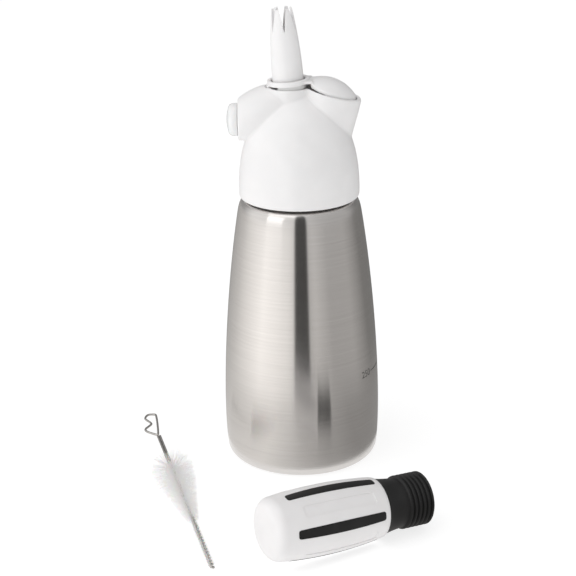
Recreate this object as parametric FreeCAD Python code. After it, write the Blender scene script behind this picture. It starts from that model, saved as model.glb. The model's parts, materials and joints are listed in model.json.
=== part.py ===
"""Whipped cream dispenser: steel bottle, white valve head, charger holder and cleaning brush.

Millimetres. The origin is the centre of the bottle's base, +Z is up, +X points to the lever's
thumb pad and -X to the charging port.
"""
import FreeCAD, Part
import math
import os

from FreeCAD import Placement, Rotation, Vector

os.makedirs("parts", exist_ok=True)

# General clearances
RUN_GAP = 0.06
SIDE_GAP = 0.3
FACE_GAP = 0.1

# Cutting tools: how far they reach past a face, and the size of a block that takes all beyond a plane
SPARE = 5.0
WASTE = 60.0

# Threads: share of a crest that is flat, and how far its foot sinks into the root
THREAD_FLAT_SHARE = 0.4
THREAD_SINK = 0.2

# Bottle
BOTTLE_FOOT_R = 39.7
BOTTLE_FOOT_FILLET = 5.4
BOTTLE_BELLY_POLE_R = 42.0
BOTTLE_BELLY_POLE_Z = 34.0
BOTTLE_SHOULDER_STEP = 1.3
BOTTLE_SHOULDER_Z = 131.0
BOTTLE_SHOULDER_LEAN = 0.16
BOTTLE_SHOULDER_REACH = 42.0
BOTTLE_SHOULDER_ROUND = 9.6
BOTTLE_WALL = 1.0
NECK_WALL = 1.6
NECK_HEIGHT = 15.4
NECK_SHELF = 5.0
NECK_STEP = 1.0
THREAD_DEPTH = 0.8
THREAD_PITCH = 3.2
THREAD_TURNS = 3
THREAD_TOP_GAP = 1.5

# Head shell
RIM_GAP = 0.8
SHELL_RIM_R = 30.4
SHELL_RIM_ROUND = 1.0
SHELL_WAIST_R = 29.7
SHELL_WAIST_RISE = 16.0
SHELL_BROW_R = 27.2
SHELL_BROW_RISE = 27.6
SHELL_CROWN_R = 9.0
SHELL_CROWN_RISE = 51.4
SHELL_WALL = 2.4

# Valve axis: it leans towards the charging port
VALVE_X = -4.7
VALVE_LEAN = 4.3
LEVER_RISE = 57.2
HUB_R = 10.6
HUB_DEPTH = 11.0
HUB_FLOOR = 2.0
HUB_WASTE_BACK = 2.0
SPRING_WELL_RISE = 20.0
COLLAR_WELL_DEPTH = 2.6

# Charging port on the head
PORT_RISE = 39.3
PORT_FACE_X = -30.0
PORT_R = 10.5
BAR_MID_X = -20.0
BAR_MID_HALF_WIDTH = 12.0
BAR_MID_HALF_HEIGHT = 12.6
BAR_MID_DROP = 1.4
BAR_TOP_DROP = 0.3
BAR_HUB_OVERLAP = 2.0
BAR_HUB_STEP = 0.2

# Horn under the thumb pad
HORN_TILT = 15.0
HORN_X = 17.2
HORN_RIM_RISE = 52.7
HORN_HALF_LENGTH = 14.3
HORN_HALF_WIDTH = 13.6
HORN_ROOT_X = 13.6
HORN_ROOT_RISE = 28.0
HORN_ROOT_HALF_LENGTH = 12.4
HORN_ROOT_HALF_WIDTH = 8.6
HORN_BAND_DROP = 7.0
HORN_BAND_HALF_WIDTH = 13.1
HORN_POCKET_DEPTH = 7.0

# Lever
LEVER_PLATE = 2.4
LEVER_RING_R = 10.5
LEVER_RING_HOLE_R = 8.6
LEVER_ANGLE = 5.5
PAD_X = 16.5
PAD_HALF_LENGTH = 12.1
PAD_HALF_WIDTH = 11.6
PAD_CROWN_X = 11.5
PAD_CROWN_RISE = 60.3
PAD_CURVE_R = 19.8
PAD_SIDE_CURVE_R = 16.8
PAD_THICK = 2.2
PAD_GAP = 0.5
PAD_HUB_GAP = 2.0
BRIDGE_HALF_WIDTH = 7.0
BRIDGE_LENGTH = 12.0
BRIDGE_RISE = 0.1
BRIDGE_THICK = 1.4
LUG_R = 2.0
LUG_HALF_WIDTH = 3.5
PIN_BACK = 8.9
PIN_DROP = 4.6
PIN_R = 1.1
PIN_HALF_LENGTH = 6.6

# Valve stem
STEM_R = 4.0
STEM_BORE_R = 1.9
STEM_LOW_R = 3.0
STEM_TOP_RISE = 6.4
STEM_COLLAR_R = 9.2
STEM_COLLAR_THICK = 2.2
STEM_COLLAR_FLAT = 5.4
STEM_THREAD_DEPTH = 0.4
STEM_THREAD_TURNS = 3
STEM_STEP_RISE = 1.0
STEM_BORE_RISE = 1.5
STEM_PORT_RISE = 3.5
STEM_PORT_R = 1.2
O_RING_WIRE_R = 0.42
O_RING_GROOVE_WIDTH = 1.3
O_RING_RISE = 4.0
O_RING_STEP = 6.0
POPPET_R = 7.0
POPPET_THICK = 3.0
POPPET_FLOOR = 0.6
POPPET_CHAMFER = 1.5
VALVE_SEAL_THICK = 1.4
SPRING_WIRE = 0.9
SPRING_R = 5.7
SPRING_TURNS = 4

# Core inside the head
CORE_DISC_STEP = 0.16
CORE_DISC_THICK = 3.4
CORE_COLUMN_R = 10.0
CORE_COLUMN_TOP = 26.0
CORE_NECK_R = 7.4
CORE_NECK_TOP = 30.0
CORE_SEAT_DEPTH = 3.0
CORE_SEAT_R = 8.0
CORE_SEAT_HOLE_R = 4.9
CORE_SEAT_LAND = 3.0
CORE_CHAMBER_R = 5.5
CORE_CHAMBER_TOP = 14.0
GAS_WAY_R = 1.0
GAS_WAY_X = -9.6
GASKET_THICK = 2.0
GASKET_LIP = 0.4
THREAD_RING_WALL = 3.4
THREAD_RING_GAP = 1.54
THREAD_RING_LIP = 1.0

# Charging inlet
INLET_R = 7.8
INLET_BACK_X = -15.0
INLET_TAIL_R = 4.0
INLET_TAIL_LENGTH = 4.6
INLET_STUD_R = 6.4
INLET_STUD_LENGTH = 4.4
INLET_THREAD_DEPTH = 0.5
INLET_THREAD_PITCH = 1.4
INLET_MOUTH_R = 3.6
INLET_MOUTH_DEPTH = 3.0
INLET_GAS_R = 1.3
INLET_SOCKET_GAP = 0.6
PIN_POINT_LENGTH = 2.2
PIN_POINT_R = 0.8
PIN_POINT_TIP_R = 0.25
PIN_POINT_BORE_R = 0.45
PIN_BASE_LENGTH = 6.0
FILTER_THICK = 0.8
FILTER_R = 2.4
FILTER_HOLE_R = 0.4
INLET_GASKET_THICK = 1.6
INLET_GASKET_GAP = 0.7
CHECK_SLEEVE_LENGTH = 4.0
CHECK_SLEEVE_WALL = 0.8
INLET_SEAL_WIRE_R = 0.8
INLET_SEAL_BACK = 4.0
INLET_SEAL_SLACK = 0.02

# Protective cap
CAP_R = 8.2
CAP_PROUD = 5.8
CAP_EDGE_ROUND = 2.6
CAP_CROWN_RISE = 0.9

# Charger holder, lying on its side
HOLDER_MOUTH_X = 55.9
HOLDER_MOUTH_Y = -86.4
HOLDER_TURN = 28.6
HOLDER_LENGTH = 85.0
HOLDER_RIB_R = 12.9
HOLDER_RIB_DEPTH = 1.0
HOLDER_RIB_COUNT = 6
HOLDER_RIB_PITCH = 2.4
HOLDER_RIB_RAMP = 0.5
HOLDER_RIB_CREST_SHARE = 0.6
HOLDER_RIB_FOOT_SHARE = 0.8
HOLDER_NECK_R = 12.9
HOLDER_NECK_SHIFT = 2.0
HOLDER_SPLIT = 26.0
HOLDER_SPLIT_R = 14.4
HOLDER_BELLY = 57.0
HOLDER_BELLY_R = 16.6
HOLDER_END_R = 15.2
HOLDER_END_ROUND = 5.0
HOLDER_BORE_R = 9.4
HOLDER_SPIGOT_LENGTH = 9.0
HOLDER_SPIGOT_R = 12.2
HOLDER_END_WALL = 3.0
LINER_LENGTH = 12.0
LINER_WALL = 2.4
LINER_THREAD_TURNS = 6
INLAY_COUNT = 5
INLAY_START = 29.0
INLAY_LENGTH = 47.0
INLAY_WIDTH = 5.2
INLAY_DEPTH = 1.3
INLAY_PROUD = 0.15
INLAY_PHASE = 137.5
CUSHION_THICK = 2.4
CUSHION_HOLE_R = 3.0

# Cleaning brush, lying on its side
WIRE_R = 0.6
BRUSH_TAIL = (-43.2, -128.5, 1.5)
BRUSH_NECK = (-76.5, -4.5, 8.5)
BRUSH_CONE_START = 43.0
BRUSH_CONE_END = 96.0
BRUSH_CONE_SMALL_R = 3.4
BRUSH_CONE_LARGE_R = 11.4
BRUSH_CONE_FLARE = 7.0
BRUSH_CONE_DRAFT = 0.6
BRUSH_CONE_HOLLOW = 4.0
BRUSH_TAIL_FUR_R = 1.9
BRUSH_TAIL_FUR_START = 3.0
FLOOR_REACH = 200.0
LOOP_OUTLINE = ((0.6, 0.0), (7.0, 5.3), (10.2, 5.9), (15.8, 0.5), (23.3, 3.6), (28.2, 1.0), (27.2, -3.8))

# Decorator tip
TIP_BASE_R = 7.7
TIP_MID_R = 7.1
TIP_TOP_R = 5.0
TIP_LENGTH = 37.4
TIP_WALL = 1.2
TIP_SHELF = 0.6
TIP_SOCKET_DEPTH = 7.2
TIP_FUNNEL = 2.0
TIP_NOTCH_COUNT = 6
TIP_NOTCH_DEPTH = 10.6
TIP_NOTCH_HALF_WIDTH = 2.0
TIP_NOTCH_ROOT_HALF_WIDTH = 0.15
TIP_NOTCH_SPARE = 0.5
TIP_NOTCH_PHASE = -86.0

# Sizes across, worked out from the head inwards
BOTTLE_SHOULDER_R = SHELL_RIM_R + BOTTLE_SHOULDER_STEP
THREAD_RING_R = SHELL_WAIST_R - SHELL_WALL - THREAD_RING_GAP
THREAD_RING_ROOT_R = THREAD_RING_R - THREAD_RING_WALL + THREAD_DEPTH
NECK_R = THREAD_RING_ROOT_R - 2 * THREAD_DEPTH - RUN_GAP - SIDE_GAP
CORE_DISC_R = THREAD_RING_R - CORE_DISC_STEP

# Heights worked out from the sizes above
NECK_BASE_Z = BOTTLE_SHOULDER_Z + BOTTLE_SHOULDER_ROUND
NECK_TOP_Z = NECK_BASE_Z + NECK_HEIGHT
THREAD_LOW_Z = NECK_TOP_Z - THREAD_TOP_GAP - THREAD_TURNS * THREAD_PITCH
RIM_Z = NECK_BASE_Z - NECK_STEP + RIM_GAP
LEVER_Z = RIM_Z + LEVER_RISE
PORT_Z = RIM_Z + PORT_RISE
DISC_Z = NECK_TOP_Z + GASKET_THICK
SEAT_Z = DISC_Z + CORE_SEAT_DEPTH
BORE_TOP_Z = DISC_Z + CORE_NECK_TOP
COLLAR_TOP_Z = LEVER_Z - FACE_GAP
COLLAR_Z = COLLAR_TOP_Z - STEM_COLLAR_THICK
PIN_Z = LEVER_Z - PIN_DROP


def save(name, shape):
    """Write one sub-part as a STEP file."""
    shape.exportStep(os.path.join("parts", name + ".step"))


def point(radius, height):
    """A point of a turned profile."""
    return Vector(radius, 0, height)


def polyline(points):
    """Straight edges from point to point."""
    return [Part.makeLine(a, b) for a, b in zip(points, points[1:])]


def turned(edges):
    """A solid turned about Z from the edges of a closed profile in the XZ plane."""
    face = Part.Face(Part.Wire(edges))
    return face.revolve(Vector(0, 0, 0), Vector(0, 0, 1), 360)


def turned_points(points):
    """A solid turned about Z from (radius, height) corners."""
    corners = [point(r, z) for r, z in points]
    return turned(polyline(corners + corners[:1]))


def rod(radius, low, high):
    """A cylinder on Z between two heights."""
    return Part.makeCylinder(radius, high - low, Vector(0, 0, low))


def tube(outer, inner, low, high):
    """A ring on Z between two heights."""
    return rod(outer, low, high).cut(rod(inner, low, high))


def threaded(root, crest, low, pitch, turns):
    """Thread crests, outside or inside a root cylinder, as separate rings on Z."""
    half = 0.25 * pitch
    flat = THREAD_FLAT_SHARE * half
    sunk = root - math.copysign(THREAD_SINK, crest - root)
    rings = []
    for turn in range(turns):
        middle = low + (turn + 0.5) * pitch
        rings.append(turned_points([
            (root, middle - half), (crest, middle - flat), (crest, middle + flat),
            (root, middle + half), (sunk, middle + half), (sunk, middle - half)]))
    return rings


def leaned(shape):
    """Move a shape built upright on the valve axis at X = 0 to its leaning place."""
    pivot = Vector(VALVE_X, 0, LEVER_Z)
    moved = shape.copy()
    moved.translate(Vector(VALVE_X, 0, 0))
    moved.rotate(pivot, Vector(0, 1, 0), -VALVE_LEAN)
    return moved


def facing_port(shape):
    """Turn a shape built on Z with its mouth at height 0 so that it points out of the port."""
    placed = shape.copy()
    placed.rotate(Vector(0, 0, 0), Vector(0, 1, 0), -90)
    placed.translate(Vector(PORT_FACE_X, 0, PORT_Z))
    return placed


def biarc_pair(start, heading, radial_axis, centre, radius):
    """Two points that set a tangent arc from a start point to a radial line of a helix."""
    low, high = 0.8 * radius, 1.2 * radius
    for _ in range(60):
        middle = 0.5 * (low + high)
        join = centre + radial_axis * middle
        chord = (join - start).normalize()
        turn = 2 * chord.dot(heading) * chord.dot(radial_axis) - heading.dot(radial_axis)
        if turn > 0:
            high = middle
        else:
            low = middle
    chord = join - start
    length = chord.Length
    chord.normalize()
    along = heading.dot(chord)
    bulge = (heading - chord * along).normalize()
    half_turn = math.acos(along)
    top = (start + join) * 0.5 + bulge * (0.5 * length * math.tan(0.5 * half_turn))
    return top, join


def helix_edges(radius, pitch, turns):
    """Arcs that follow a helix about Z, in tangent pairs of a quarter turn."""
    step = math.pi / 2
    edges = []

    def spot(angle):
        return Vector(radius * math.cos(angle), radius * math.sin(angle), pitch * angle / (2 * math.pi))

    def direction(angle):
        rise = pitch / (2 * math.pi)
        return Vector(-radius * math.sin(angle), radius * math.cos(angle), rise).normalize()

    for quarter in range(int(4 * turns)):
        first = quarter * step
        middle = first + 0.5 * step
        last = first + step
        radial = Vector(math.cos(middle), math.sin(middle), 0)
        centre = Vector(0, 0, pitch * middle / (2 * math.pi))
        top, join = biarc_pair(spot(first), direction(first), radial, centre, radius)
        edges.append(Part.Arc(spot(first), top, join).toShape())
        top, join_back = biarc_pair(spot(last), direction(last) * -1, radial, centre, radius)
        edges.append(Part.Arc(join, top, spot(last)).toShape())
    return edges


def coil(radius, wire, low, high, turns):
    """An open coil spring on Z whose wire lies between two heights."""
    pitch = (high - low - wire) / turns
    path = Part.Wire(helix_edges(radius, pitch, turns))
    start = Vector(radius, 0, 0)
    heading = Vector(0, radius, pitch / (2 * math.pi))
    section = Part.Wire(Part.makeCircle(0.5 * wire, start, heading))
    spring = path.makePipeShell([section], True, False)
    spring.translate(Vector(0, 0, low + 0.5 * wire))
    return spring


def bottle_side(inset):
    """The bottle's flank from the foot to the shoulder as one curve, moved in by an inset."""
    foot = point(BOTTLE_FOOT_R - inset, BOTTLE_FOOT_FILLET)
    belly = point(BOTTLE_BELLY_POLE_R - inset, BOTTLE_BELLY_POLE_Z)
    lean = BOTTLE_SHOULDER_LEAN * BOTTLE_SHOULDER_REACH
    chest = point(BOTTLE_SHOULDER_R + lean - inset, BOTTLE_SHOULDER_Z - BOTTLE_SHOULDER_REACH)
    shoulder = point(BOTTLE_SHOULDER_R - inset, BOTTLE_SHOULDER_Z)
    curve = Part.BezierCurve()
    curve.setPoles([foot, belly, chest, shoulder])
    return curve.toShape()


def bottle_shoulder(inset):
    """The rounded shoulder from the flank in to the neck."""
    start = point(BOTTLE_SHOULDER_R - inset, BOTTLE_SHOULDER_Z)
    rise = 0.5 * BOTTLE_SHOULDER_ROUND
    above = point(start.x - BOTTLE_SHOULDER_LEAN * rise, BOTTLE_SHOULDER_Z + rise)
    top = NECK_BASE_Z - NECK_STEP - inset
    edge = point(start.x - 2 * BOTTLE_SHOULDER_LEAN * rise, top)
    end = point(NECK_R + NECK_SHELF - inset, top)
    curve = Part.BezierCurve()
    curve.setPoles([start, above, edge, end])
    return curve.toShape()


def bottle_body(inset, neck_radius, floor):
    """One closed turned body of the bottle, used outside and, moved in, for the inside."""
    fillet = BOTTLE_FOOT_FILLET
    corner = point(BOTTLE_FOOT_R - fillet, fillet)
    low = corner + Vector(0, 0, -(fillet - floor))
    diagonal = Vector(math.sqrt(0.5) * (fillet - inset), 0, -math.sqrt(0.5) * (fillet - floor))
    shoulder_end = point(NECK_R + NECK_SHELF - inset, NECK_BASE_Z - NECK_STEP - inset)
    neck = [shoulder_end, point(neck_radius, NECK_BASE_Z), point(neck_radius, NECK_TOP_Z),
            point(0, NECK_TOP_Z), point(0, floor)]
    foot = Part.Arc(low, corner + diagonal, point(BOTTLE_FOOT_R - inset, fillet)).toShape()
    edges = [Part.makeLine(point(0, floor), low), foot, bottle_side(inset), bottle_shoulder(inset)]
    return turned(edges + polyline(neck))


def make_bottle():
    """Drawn steel bottle with a threaded neck and a hollow inside."""
    outside = bottle_body(0.0, NECK_R, 0.0)
    inside = bottle_body(BOTTLE_WALL, NECK_R - NECK_WALL, BOTTLE_WALL)
    rings = threaded(NECK_R, NECK_R + THREAD_DEPTH, THREAD_LOW_Z, THREAD_PITCH, THREAD_TURNS)
    return outside.fuse(rings).cut(inside).removeSplitter()


def make_head_gasket():
    """Flat seal between the bottle's lip and the head's core."""
    return tube(NECK_R - GASKET_LIP, NECK_R - NECK_WALL + GASKET_LIP, NECK_TOP_Z, DISC_Z)


def dome(inset):
    """The bell of the head from its rim to its crown, moved in by an inset."""
    rim_r = SHELL_RIM_R - inset
    waist = point(SHELL_WAIST_R - inset, RIM_Z + SHELL_WAIST_RISE)
    brow = point(SHELL_BROW_R - inset, RIM_Z + SHELL_BROW_RISE)
    crown = point(SHELL_CROWN_R, RIM_Z + SHELL_CROWN_RISE - inset)
    curve = Part.BSplineCurve()
    curve.interpolate([point(rim_r, RIM_Z), waist, brow, crown])
    edges = [
        Part.makeLine(point(0, RIM_Z), point(rim_r, RIM_Z)),
        curve.toShape(),
        Part.makeLine(crown, point(0, crown.z)),
        Part.makeLine(point(0, crown.z), point(0, RIM_Z))]
    return turned(edges)


def ellipse_wire(centre, half_a, half_b, normal, along):
    """An ellipse with half axis half_a along one direction."""
    across = normal.cross(along).normalize()
    if half_a >= half_b:
        curve = Part.Ellipse(centre + along * half_a, centre + across * half_b, centre)
    else:
        curve = Part.Ellipse(centre + across * half_b, centre - along * half_a, centre)
    return Part.Wire(curve.toShape())


def port_bar():
    """The bar from the valve hub out to the round charging port."""
    top = LEVER_Z - BAR_TOP_DROP
    mid_z = top - BAR_MID_DROP - BAR_MID_HALF_HEIGHT
    hub_half = 0.5 * (top - PORT_Z) + BAR_HUB_OVERLAP
    stations = [
        (PORT_FACE_X, PORT_Z, PORT_R, PORT_R),
        (BAR_MID_X, mid_z, BAR_MID_HALF_WIDTH, BAR_MID_HALF_HEIGHT),
        (VALVE_X, top - hub_half, PORT_R - BAR_HUB_STEP, hub_half)]
    wires = []
    for x, z, half_width, half_height in stations:
        steps = [math.radians(angle) for angle in range(0, 360, 45)]
        ring = [Vector(x, half_width * math.cos(a), z + half_height * math.sin(a)) for a in steps]
        curve = Part.BSplineCurve()
        curve.interpolate(ring, PeriodicFlag=True)
        wires.append(Part.Wire(curve.toShape()))
    return Part.makeLoft(wires, True, False)


def horn():
    """The flared horn whose sloping rim surrounds the thumb pad."""
    slope = math.radians(HORN_TILT)
    rim_normal = Vector(math.sin(slope), 0, math.cos(slope))
    rim_along = Vector(math.cos(slope), 0, -math.sin(slope))
    rim_centre = Vector(HORN_X, 0, RIM_Z + HORN_RIM_RISE)
    root_centre = Vector(HORN_ROOT_X, 0, RIM_Z + HORN_ROOT_RISE)
    rim_half_length = HORN_HALF_LENGTH / math.cos(slope)
    rim = ellipse_wire(rim_centre, rim_half_length, HORN_HALF_WIDTH, rim_normal, rim_along)
    root = ellipse_wire(root_centre, HORN_ROOT_HALF_LENGTH, HORN_ROOT_HALF_WIDTH,
                        Vector(0, 0, 1), Vector(1, 0, 0))
    share = HORN_BAND_DROP / (HORN_RIM_RISE - HORN_ROOT_RISE)
    half_length = rim_half_length + share * (HORN_ROOT_HALF_LENGTH - rim_half_length)
    band_centre = rim_centre + (root_centre - rim_centre) * share
    band = ellipse_wire(band_centre, half_length, HORN_BAND_HALF_WIDTH, rim_normal, rim_along)
    return Part.makeLoft([root, band, rim], True, True)


def pad_prism(grow, low, high):
    """The thumb pad's outline in plan as an upright prism."""
    outline = ellipse_wire(Vector(PAD_X, 0, low), PAD_HALF_LENGTH + grow, PAD_HALF_WIDTH + grow,
                           Vector(0, 0, 1), Vector(1, 0, 0))
    return Part.Face(outline).extrude(Vector(0, 0, high - low))


def horn_pocket():
    """The well in the horn that the thumb pad sinks into."""
    floor_z = RIM_Z + HORN_RIM_RISE - HORN_POCKET_DEPTH
    well = pad_prism(PAD_GAP, RIM_Z + HORN_ROOT_RISE, LEVER_Z + SPARE)
    below = Part.makeBox(2 * WASTE, 2 * WASTE, WASTE, Vector(-WASTE, -WASTE, -WASTE))
    below.rotate(Vector(0, 0, 0), Vector(0, 1, 0), HORN_TILT)
    below.translate(Vector(HORN_X, 0, floor_z))
    return well.cut(below)


def hub_top_waste():
    """What is cut off the hub so that the lever's ring can tilt down over it."""
    block = Part.makeBox(WASTE, WASTE, WASTE, Vector(-HUB_WASTE_BACK, -0.5 * WASTE, 0))
    block.rotate(Vector(0, 0, 0), Vector(0, 1, 0), LEVER_ANGLE)
    block.translate(Vector(-HUB_R, 0, LEVER_Z - SIDE_GAP))
    return leaned(block)


def pin_rod(radius):
    """A cylinder on the lever's hinge axis, before the valve axis leans."""
    start = Vector(-PIN_BACK, -PIN_HALF_LENGTH, PIN_Z)
    return Part.makeCylinder(radius, 2 * PIN_HALF_LENGTH, start, Vector(0, 1, 0))


def lug_slot():
    """The slot for the lever's hinge lug, with the bore for its pin."""
    half = LUG_HALF_WIDTH + SIDE_GAP
    reach = LUG_R + SIDE_GAP
    slot = Part.makeBox(2 * reach, 2 * half, WASTE, Vector(-PIN_BACK - reach, -half, PIN_Z - reach))
    return leaned(slot.fuse(pin_rod(PIN_R)))


def make_head_shell():
    """White outer shell: bell, charging port, valve hub and horn in one moulding."""
    hub = leaned(rod(HUB_R, LEVER_Z - HUB_DEPTH, LEVER_Z - SIDE_GAP))
    body = dome(0.0).fuse([port_bar(), horn(), hub])
    hollow = dome(SHELL_WALL).cut(leaned(rod(HUB_R, LEVER_Z - HUB_DEPTH + HUB_FLOOR, LEVER_Z)))
    body = body.cut(hollow)
    recess = leaned(rod(STEM_COLLAR_R + SIDE_GAP, COLLAR_Z - COLLAR_WELL_DEPTH, LEVER_Z + SPARE))
    spring_well = leaned(rod(CORE_NECK_R + SIDE_GAP, DISC_Z + SPRING_WELL_RISE, COLLAR_Z))
    column_well = leaned(rod(CORE_COLUMN_R + SIDE_GAP, DISC_Z, DISC_Z + CORE_COLUMN_TOP + SIDE_GAP))
    behind = Part.makeBox(WASTE, WASTE, WASTE, Vector(VALVE_X, -0.5 * WASTE, PORT_Z - 0.5 * WASTE))
    inlet_bore = facing_port(rod(INLET_R, -WASTE, SPARE)).cut(behind)
    body = body.cut([recess, spring_well, column_well, inlet_bore])
    body = body.cut([hub_top_waste(), lug_slot(), horn_pocket()])
    rim_edges = [e for e in body.Edges if abs(e.BoundBox.ZMax - RIM_Z) < RUN_GAP
                 and e.BoundBox.XLength > 2 * SHELL_RIM_R - SHELL_WALL]
    return body.makeFillet(SHELL_RIM_ROUND, rim_edges).removeSplitter()


def make_head_core():
    """Inner core: a disc over the bottle's neck, with a column that holds the valve."""
    disc = rod(CORE_DISC_R, DISC_Z, DISC_Z + CORE_DISC_THICK)
    column = leaned(rod(CORE_COLUMN_R, DISC_Z + 0.5 * CORE_DISC_THICK, DISC_Z + CORE_COLUMN_TOP))
    neck = leaned(rod(CORE_NECK_R, DISC_Z + CORE_COLUMN_TOP - SIDE_GAP, BORE_TOP_Z))
    body = disc.fuse([column, neck])
    bores = leaned(rod(CORE_SEAT_R, DISC_Z - SPARE, SEAT_Z).fuse([
        rod(CORE_SEAT_HOLE_R, SEAT_Z, SEAT_Z + CORE_SEAT_LAND),
        rod(CORE_CHAMBER_R, SEAT_Z + CORE_SEAT_LAND, DISC_Z + CORE_CHAMBER_TOP),
        rod(STEM_R + RUN_GAP, DISC_Z + CORE_CHAMBER_TOP, BORE_TOP_Z + SPARE)]))
    socket_end = PORT_FACE_X - INLET_BACK_X - INLET_TAIL_LENGTH
    socket = facing_port(rod(INLET_TAIL_R, socket_end - INLET_SOCKET_GAP, SPARE))
    seat_face = facing_port(rod(INLET_R + SIDE_GAP, PORT_FACE_X - INLET_BACK_X, SPARE))
    gas_way = Part.makeCylinder(GAS_WAY_R, PORT_Z - DISC_Z + SPARE, Vector(GAS_WAY_X, 0, DISC_Z - SPARE))
    return body.cut([bores, socket, seat_face, gas_way]).removeSplitter()


def make_thread_ring():
    """Threaded ring under the core that screws onto the bottle's neck."""
    ring = tube(THREAD_RING_R, THREAD_RING_ROOT_R, THREAD_LOW_Z - THREAD_RING_LIP, DISC_Z)
    crests = threaded(THREAD_RING_ROOT_R, THREAD_RING_ROOT_R - THREAD_DEPTH,
                      THREAD_LOW_Z + 0.5 * THREAD_PITCH, THREAD_PITCH, THREAD_TURNS)
    return ring.fuse(crests).removeSplitter()


def lever_pad():
    """The domed thumb pad, kept clear of the hub below the ring."""
    crown = RIM_Z + PAD_CROWN_RISE
    stretch = FreeCAD.Matrix()
    stretch.scale(1.0, PAD_SIDE_CURVE_R / PAD_CURVE_R, 1.0)
    dome_top = Part.makeSphere(PAD_CURVE_R).transformGeometry(stretch)
    dome_top.translate(Vector(PAD_CROWN_X, 0, crown - PAD_CURVE_R))
    underside = dome_top.copy()
    underside.translate(Vector(0, 0, -PAD_THICK))
    pad = pad_prism(0.0, crown - PAD_CURVE_R, crown + SPARE).common(dome_top).cut(underside)
    return pad.cut(leaned(rod(LEVER_RING_R + PAD_HUB_GAP, LEVER_Z - WASTE, LEVER_Z)))


def make_lever():
    """One-piece lever: a ring round the nozzle, a hinge lug and a domed thumb pad."""
    disc = rod(LEVER_RING_R, LEVER_Z, LEVER_Z + LEVER_PLATE)
    hinge = Vector(-PIN_BACK, -LUG_HALF_WIDTH, PIN_Z)
    lug = Part.makeCylinder(LUG_R, 2 * LUG_HALF_WIDTH, hinge, Vector(0, 1, 0))
    web_depth = PIN_BACK + LUG_R - LEVER_RING_HOLE_R
    web = Part.makeBox(web_depth, 2 * LUG_HALF_WIDTH, LEVER_Z + SIDE_GAP - PIN_Z, hinge - Vector(LUG_R, 0, 0))
    bridge = Part.makeBox(BRIDGE_LENGTH, 2 * BRIDGE_HALF_WIDTH, BRIDGE_THICK,
                          Vector(0, -BRIDGE_HALF_WIDTH, LEVER_Z + BRIDGE_RISE))
    body = leaned(disc.fuse([lug, web, bridge])).fuse(lever_pad())
    hole = leaned(rod(LEVER_RING_HOLE_R, LEVER_Z - SIDE_GAP, LEVER_Z + SPARE))
    return body.cut(hole).cut(leaned(pin_rod(PIN_R + RUN_GAP))).removeSplitter()


def make_lever_pin():
    """Hinge pin of the lever."""
    return leaned(pin_rod(PIN_R))


def make_valve_stem():
    """Hollow stem with the collar that the lever presses and a threaded top for the tip."""
    top = COLLAR_TOP_Z + STEM_TOP_RISE
    root = STEM_R - STEM_THREAD_DEPTH
    land_z = SEAT_Z + CORE_SEAT_LAND
    wide_z = DISC_Z + CORE_CHAMBER_TOP + STEM_STEP_RISE
    body = rod(STEM_LOW_R, SEAT_Z - VALVE_SEAL_THICK - POPPET_THICK + POPPET_FLOOR, wide_z)
    body = body.fuse([rod(STEM_R, wide_z, COLLAR_TOP_Z), rod(root, COLLAR_TOP_Z, top)])
    flat = Part.makeBox(WASTE, WASTE, WASTE,
                        Vector(-WASTE - STEM_COLLAR_FLAT, -0.5 * WASTE, COLLAR_Z - 0.5 * WASTE))
    collar = rod(STEM_COLLAR_R, COLLAR_Z, COLLAR_TOP_Z).cut(flat)
    pitch = STEM_TOP_RISE / (STEM_THREAD_TURNS + 1)
    body = body.fuse([collar] + threaded(root, STEM_R, COLLAR_TOP_Z + pitch, pitch, STEM_THREAD_TURNS))
    body = body.cut(rod(STEM_BORE_R, land_z + STEM_BORE_RISE, top))
    for axis in (Vector(1, 0, 0), Vector(0, 1, 0)):
        start = Vector(0, 0, land_z + STEM_PORT_RISE) - axis * 2 * STEM_R
        body = body.cut(Part.makeCylinder(STEM_PORT_R, 4 * STEM_R, start, axis))
    for groove in o_ring_heights():
        body = body.cut(tube(STEM_R + SPARE, STEM_R - 2 * O_RING_WIRE_R, groove - 0.5 * O_RING_GROOVE_WIDTH,
                             groove + 0.5 * O_RING_GROOVE_WIDTH))
    return leaned(body.removeSplitter())


def o_ring_heights():
    """Heights of the two seals on the stem."""
    lower = DISC_Z + CORE_CHAMBER_TOP + O_RING_RISE
    return [lower, lower + O_RING_STEP]


def make_stem_o_rings():
    """The two rubber rings that seal the stem."""
    rings = []
    for height in o_ring_heights():
        ring = Part.makeTorus(STEM_R - O_RING_WIRE_R, O_RING_WIRE_R, Vector(0, 0, height))
        rings.append(leaned(ring))
    return Part.makeCompound(rings)


def make_valve_seal():
    """Rubber washer that closes on the seat in the core."""
    return leaned(tube(POPPET_R, STEM_LOW_R, SEAT_Z - VALVE_SEAL_THICK, SEAT_Z))


def make_valve_poppet():
    """Disc nut at the foot of the stem that carries the seal."""
    top = SEAT_Z - VALVE_SEAL_THICK
    low = top - POPPET_THICK
    nut = turned_points([(0, low), (POPPET_R - POPPET_CHAMFER, low), (POPPET_R, low + POPPET_CHAMFER),
                         (POPPET_R, top), (0, top)])
    return leaned(nut.cut(rod(STEM_LOW_R, low + POPPET_FLOOR, top)))


def make_valve_spring():
    """Coil spring that pushes the stem's collar up and shuts the valve."""
    return leaned(coil(SPRING_R, SPRING_WIRE, BORE_TOP_Z, COLLAR_Z, SPRING_TURNS))


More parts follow.
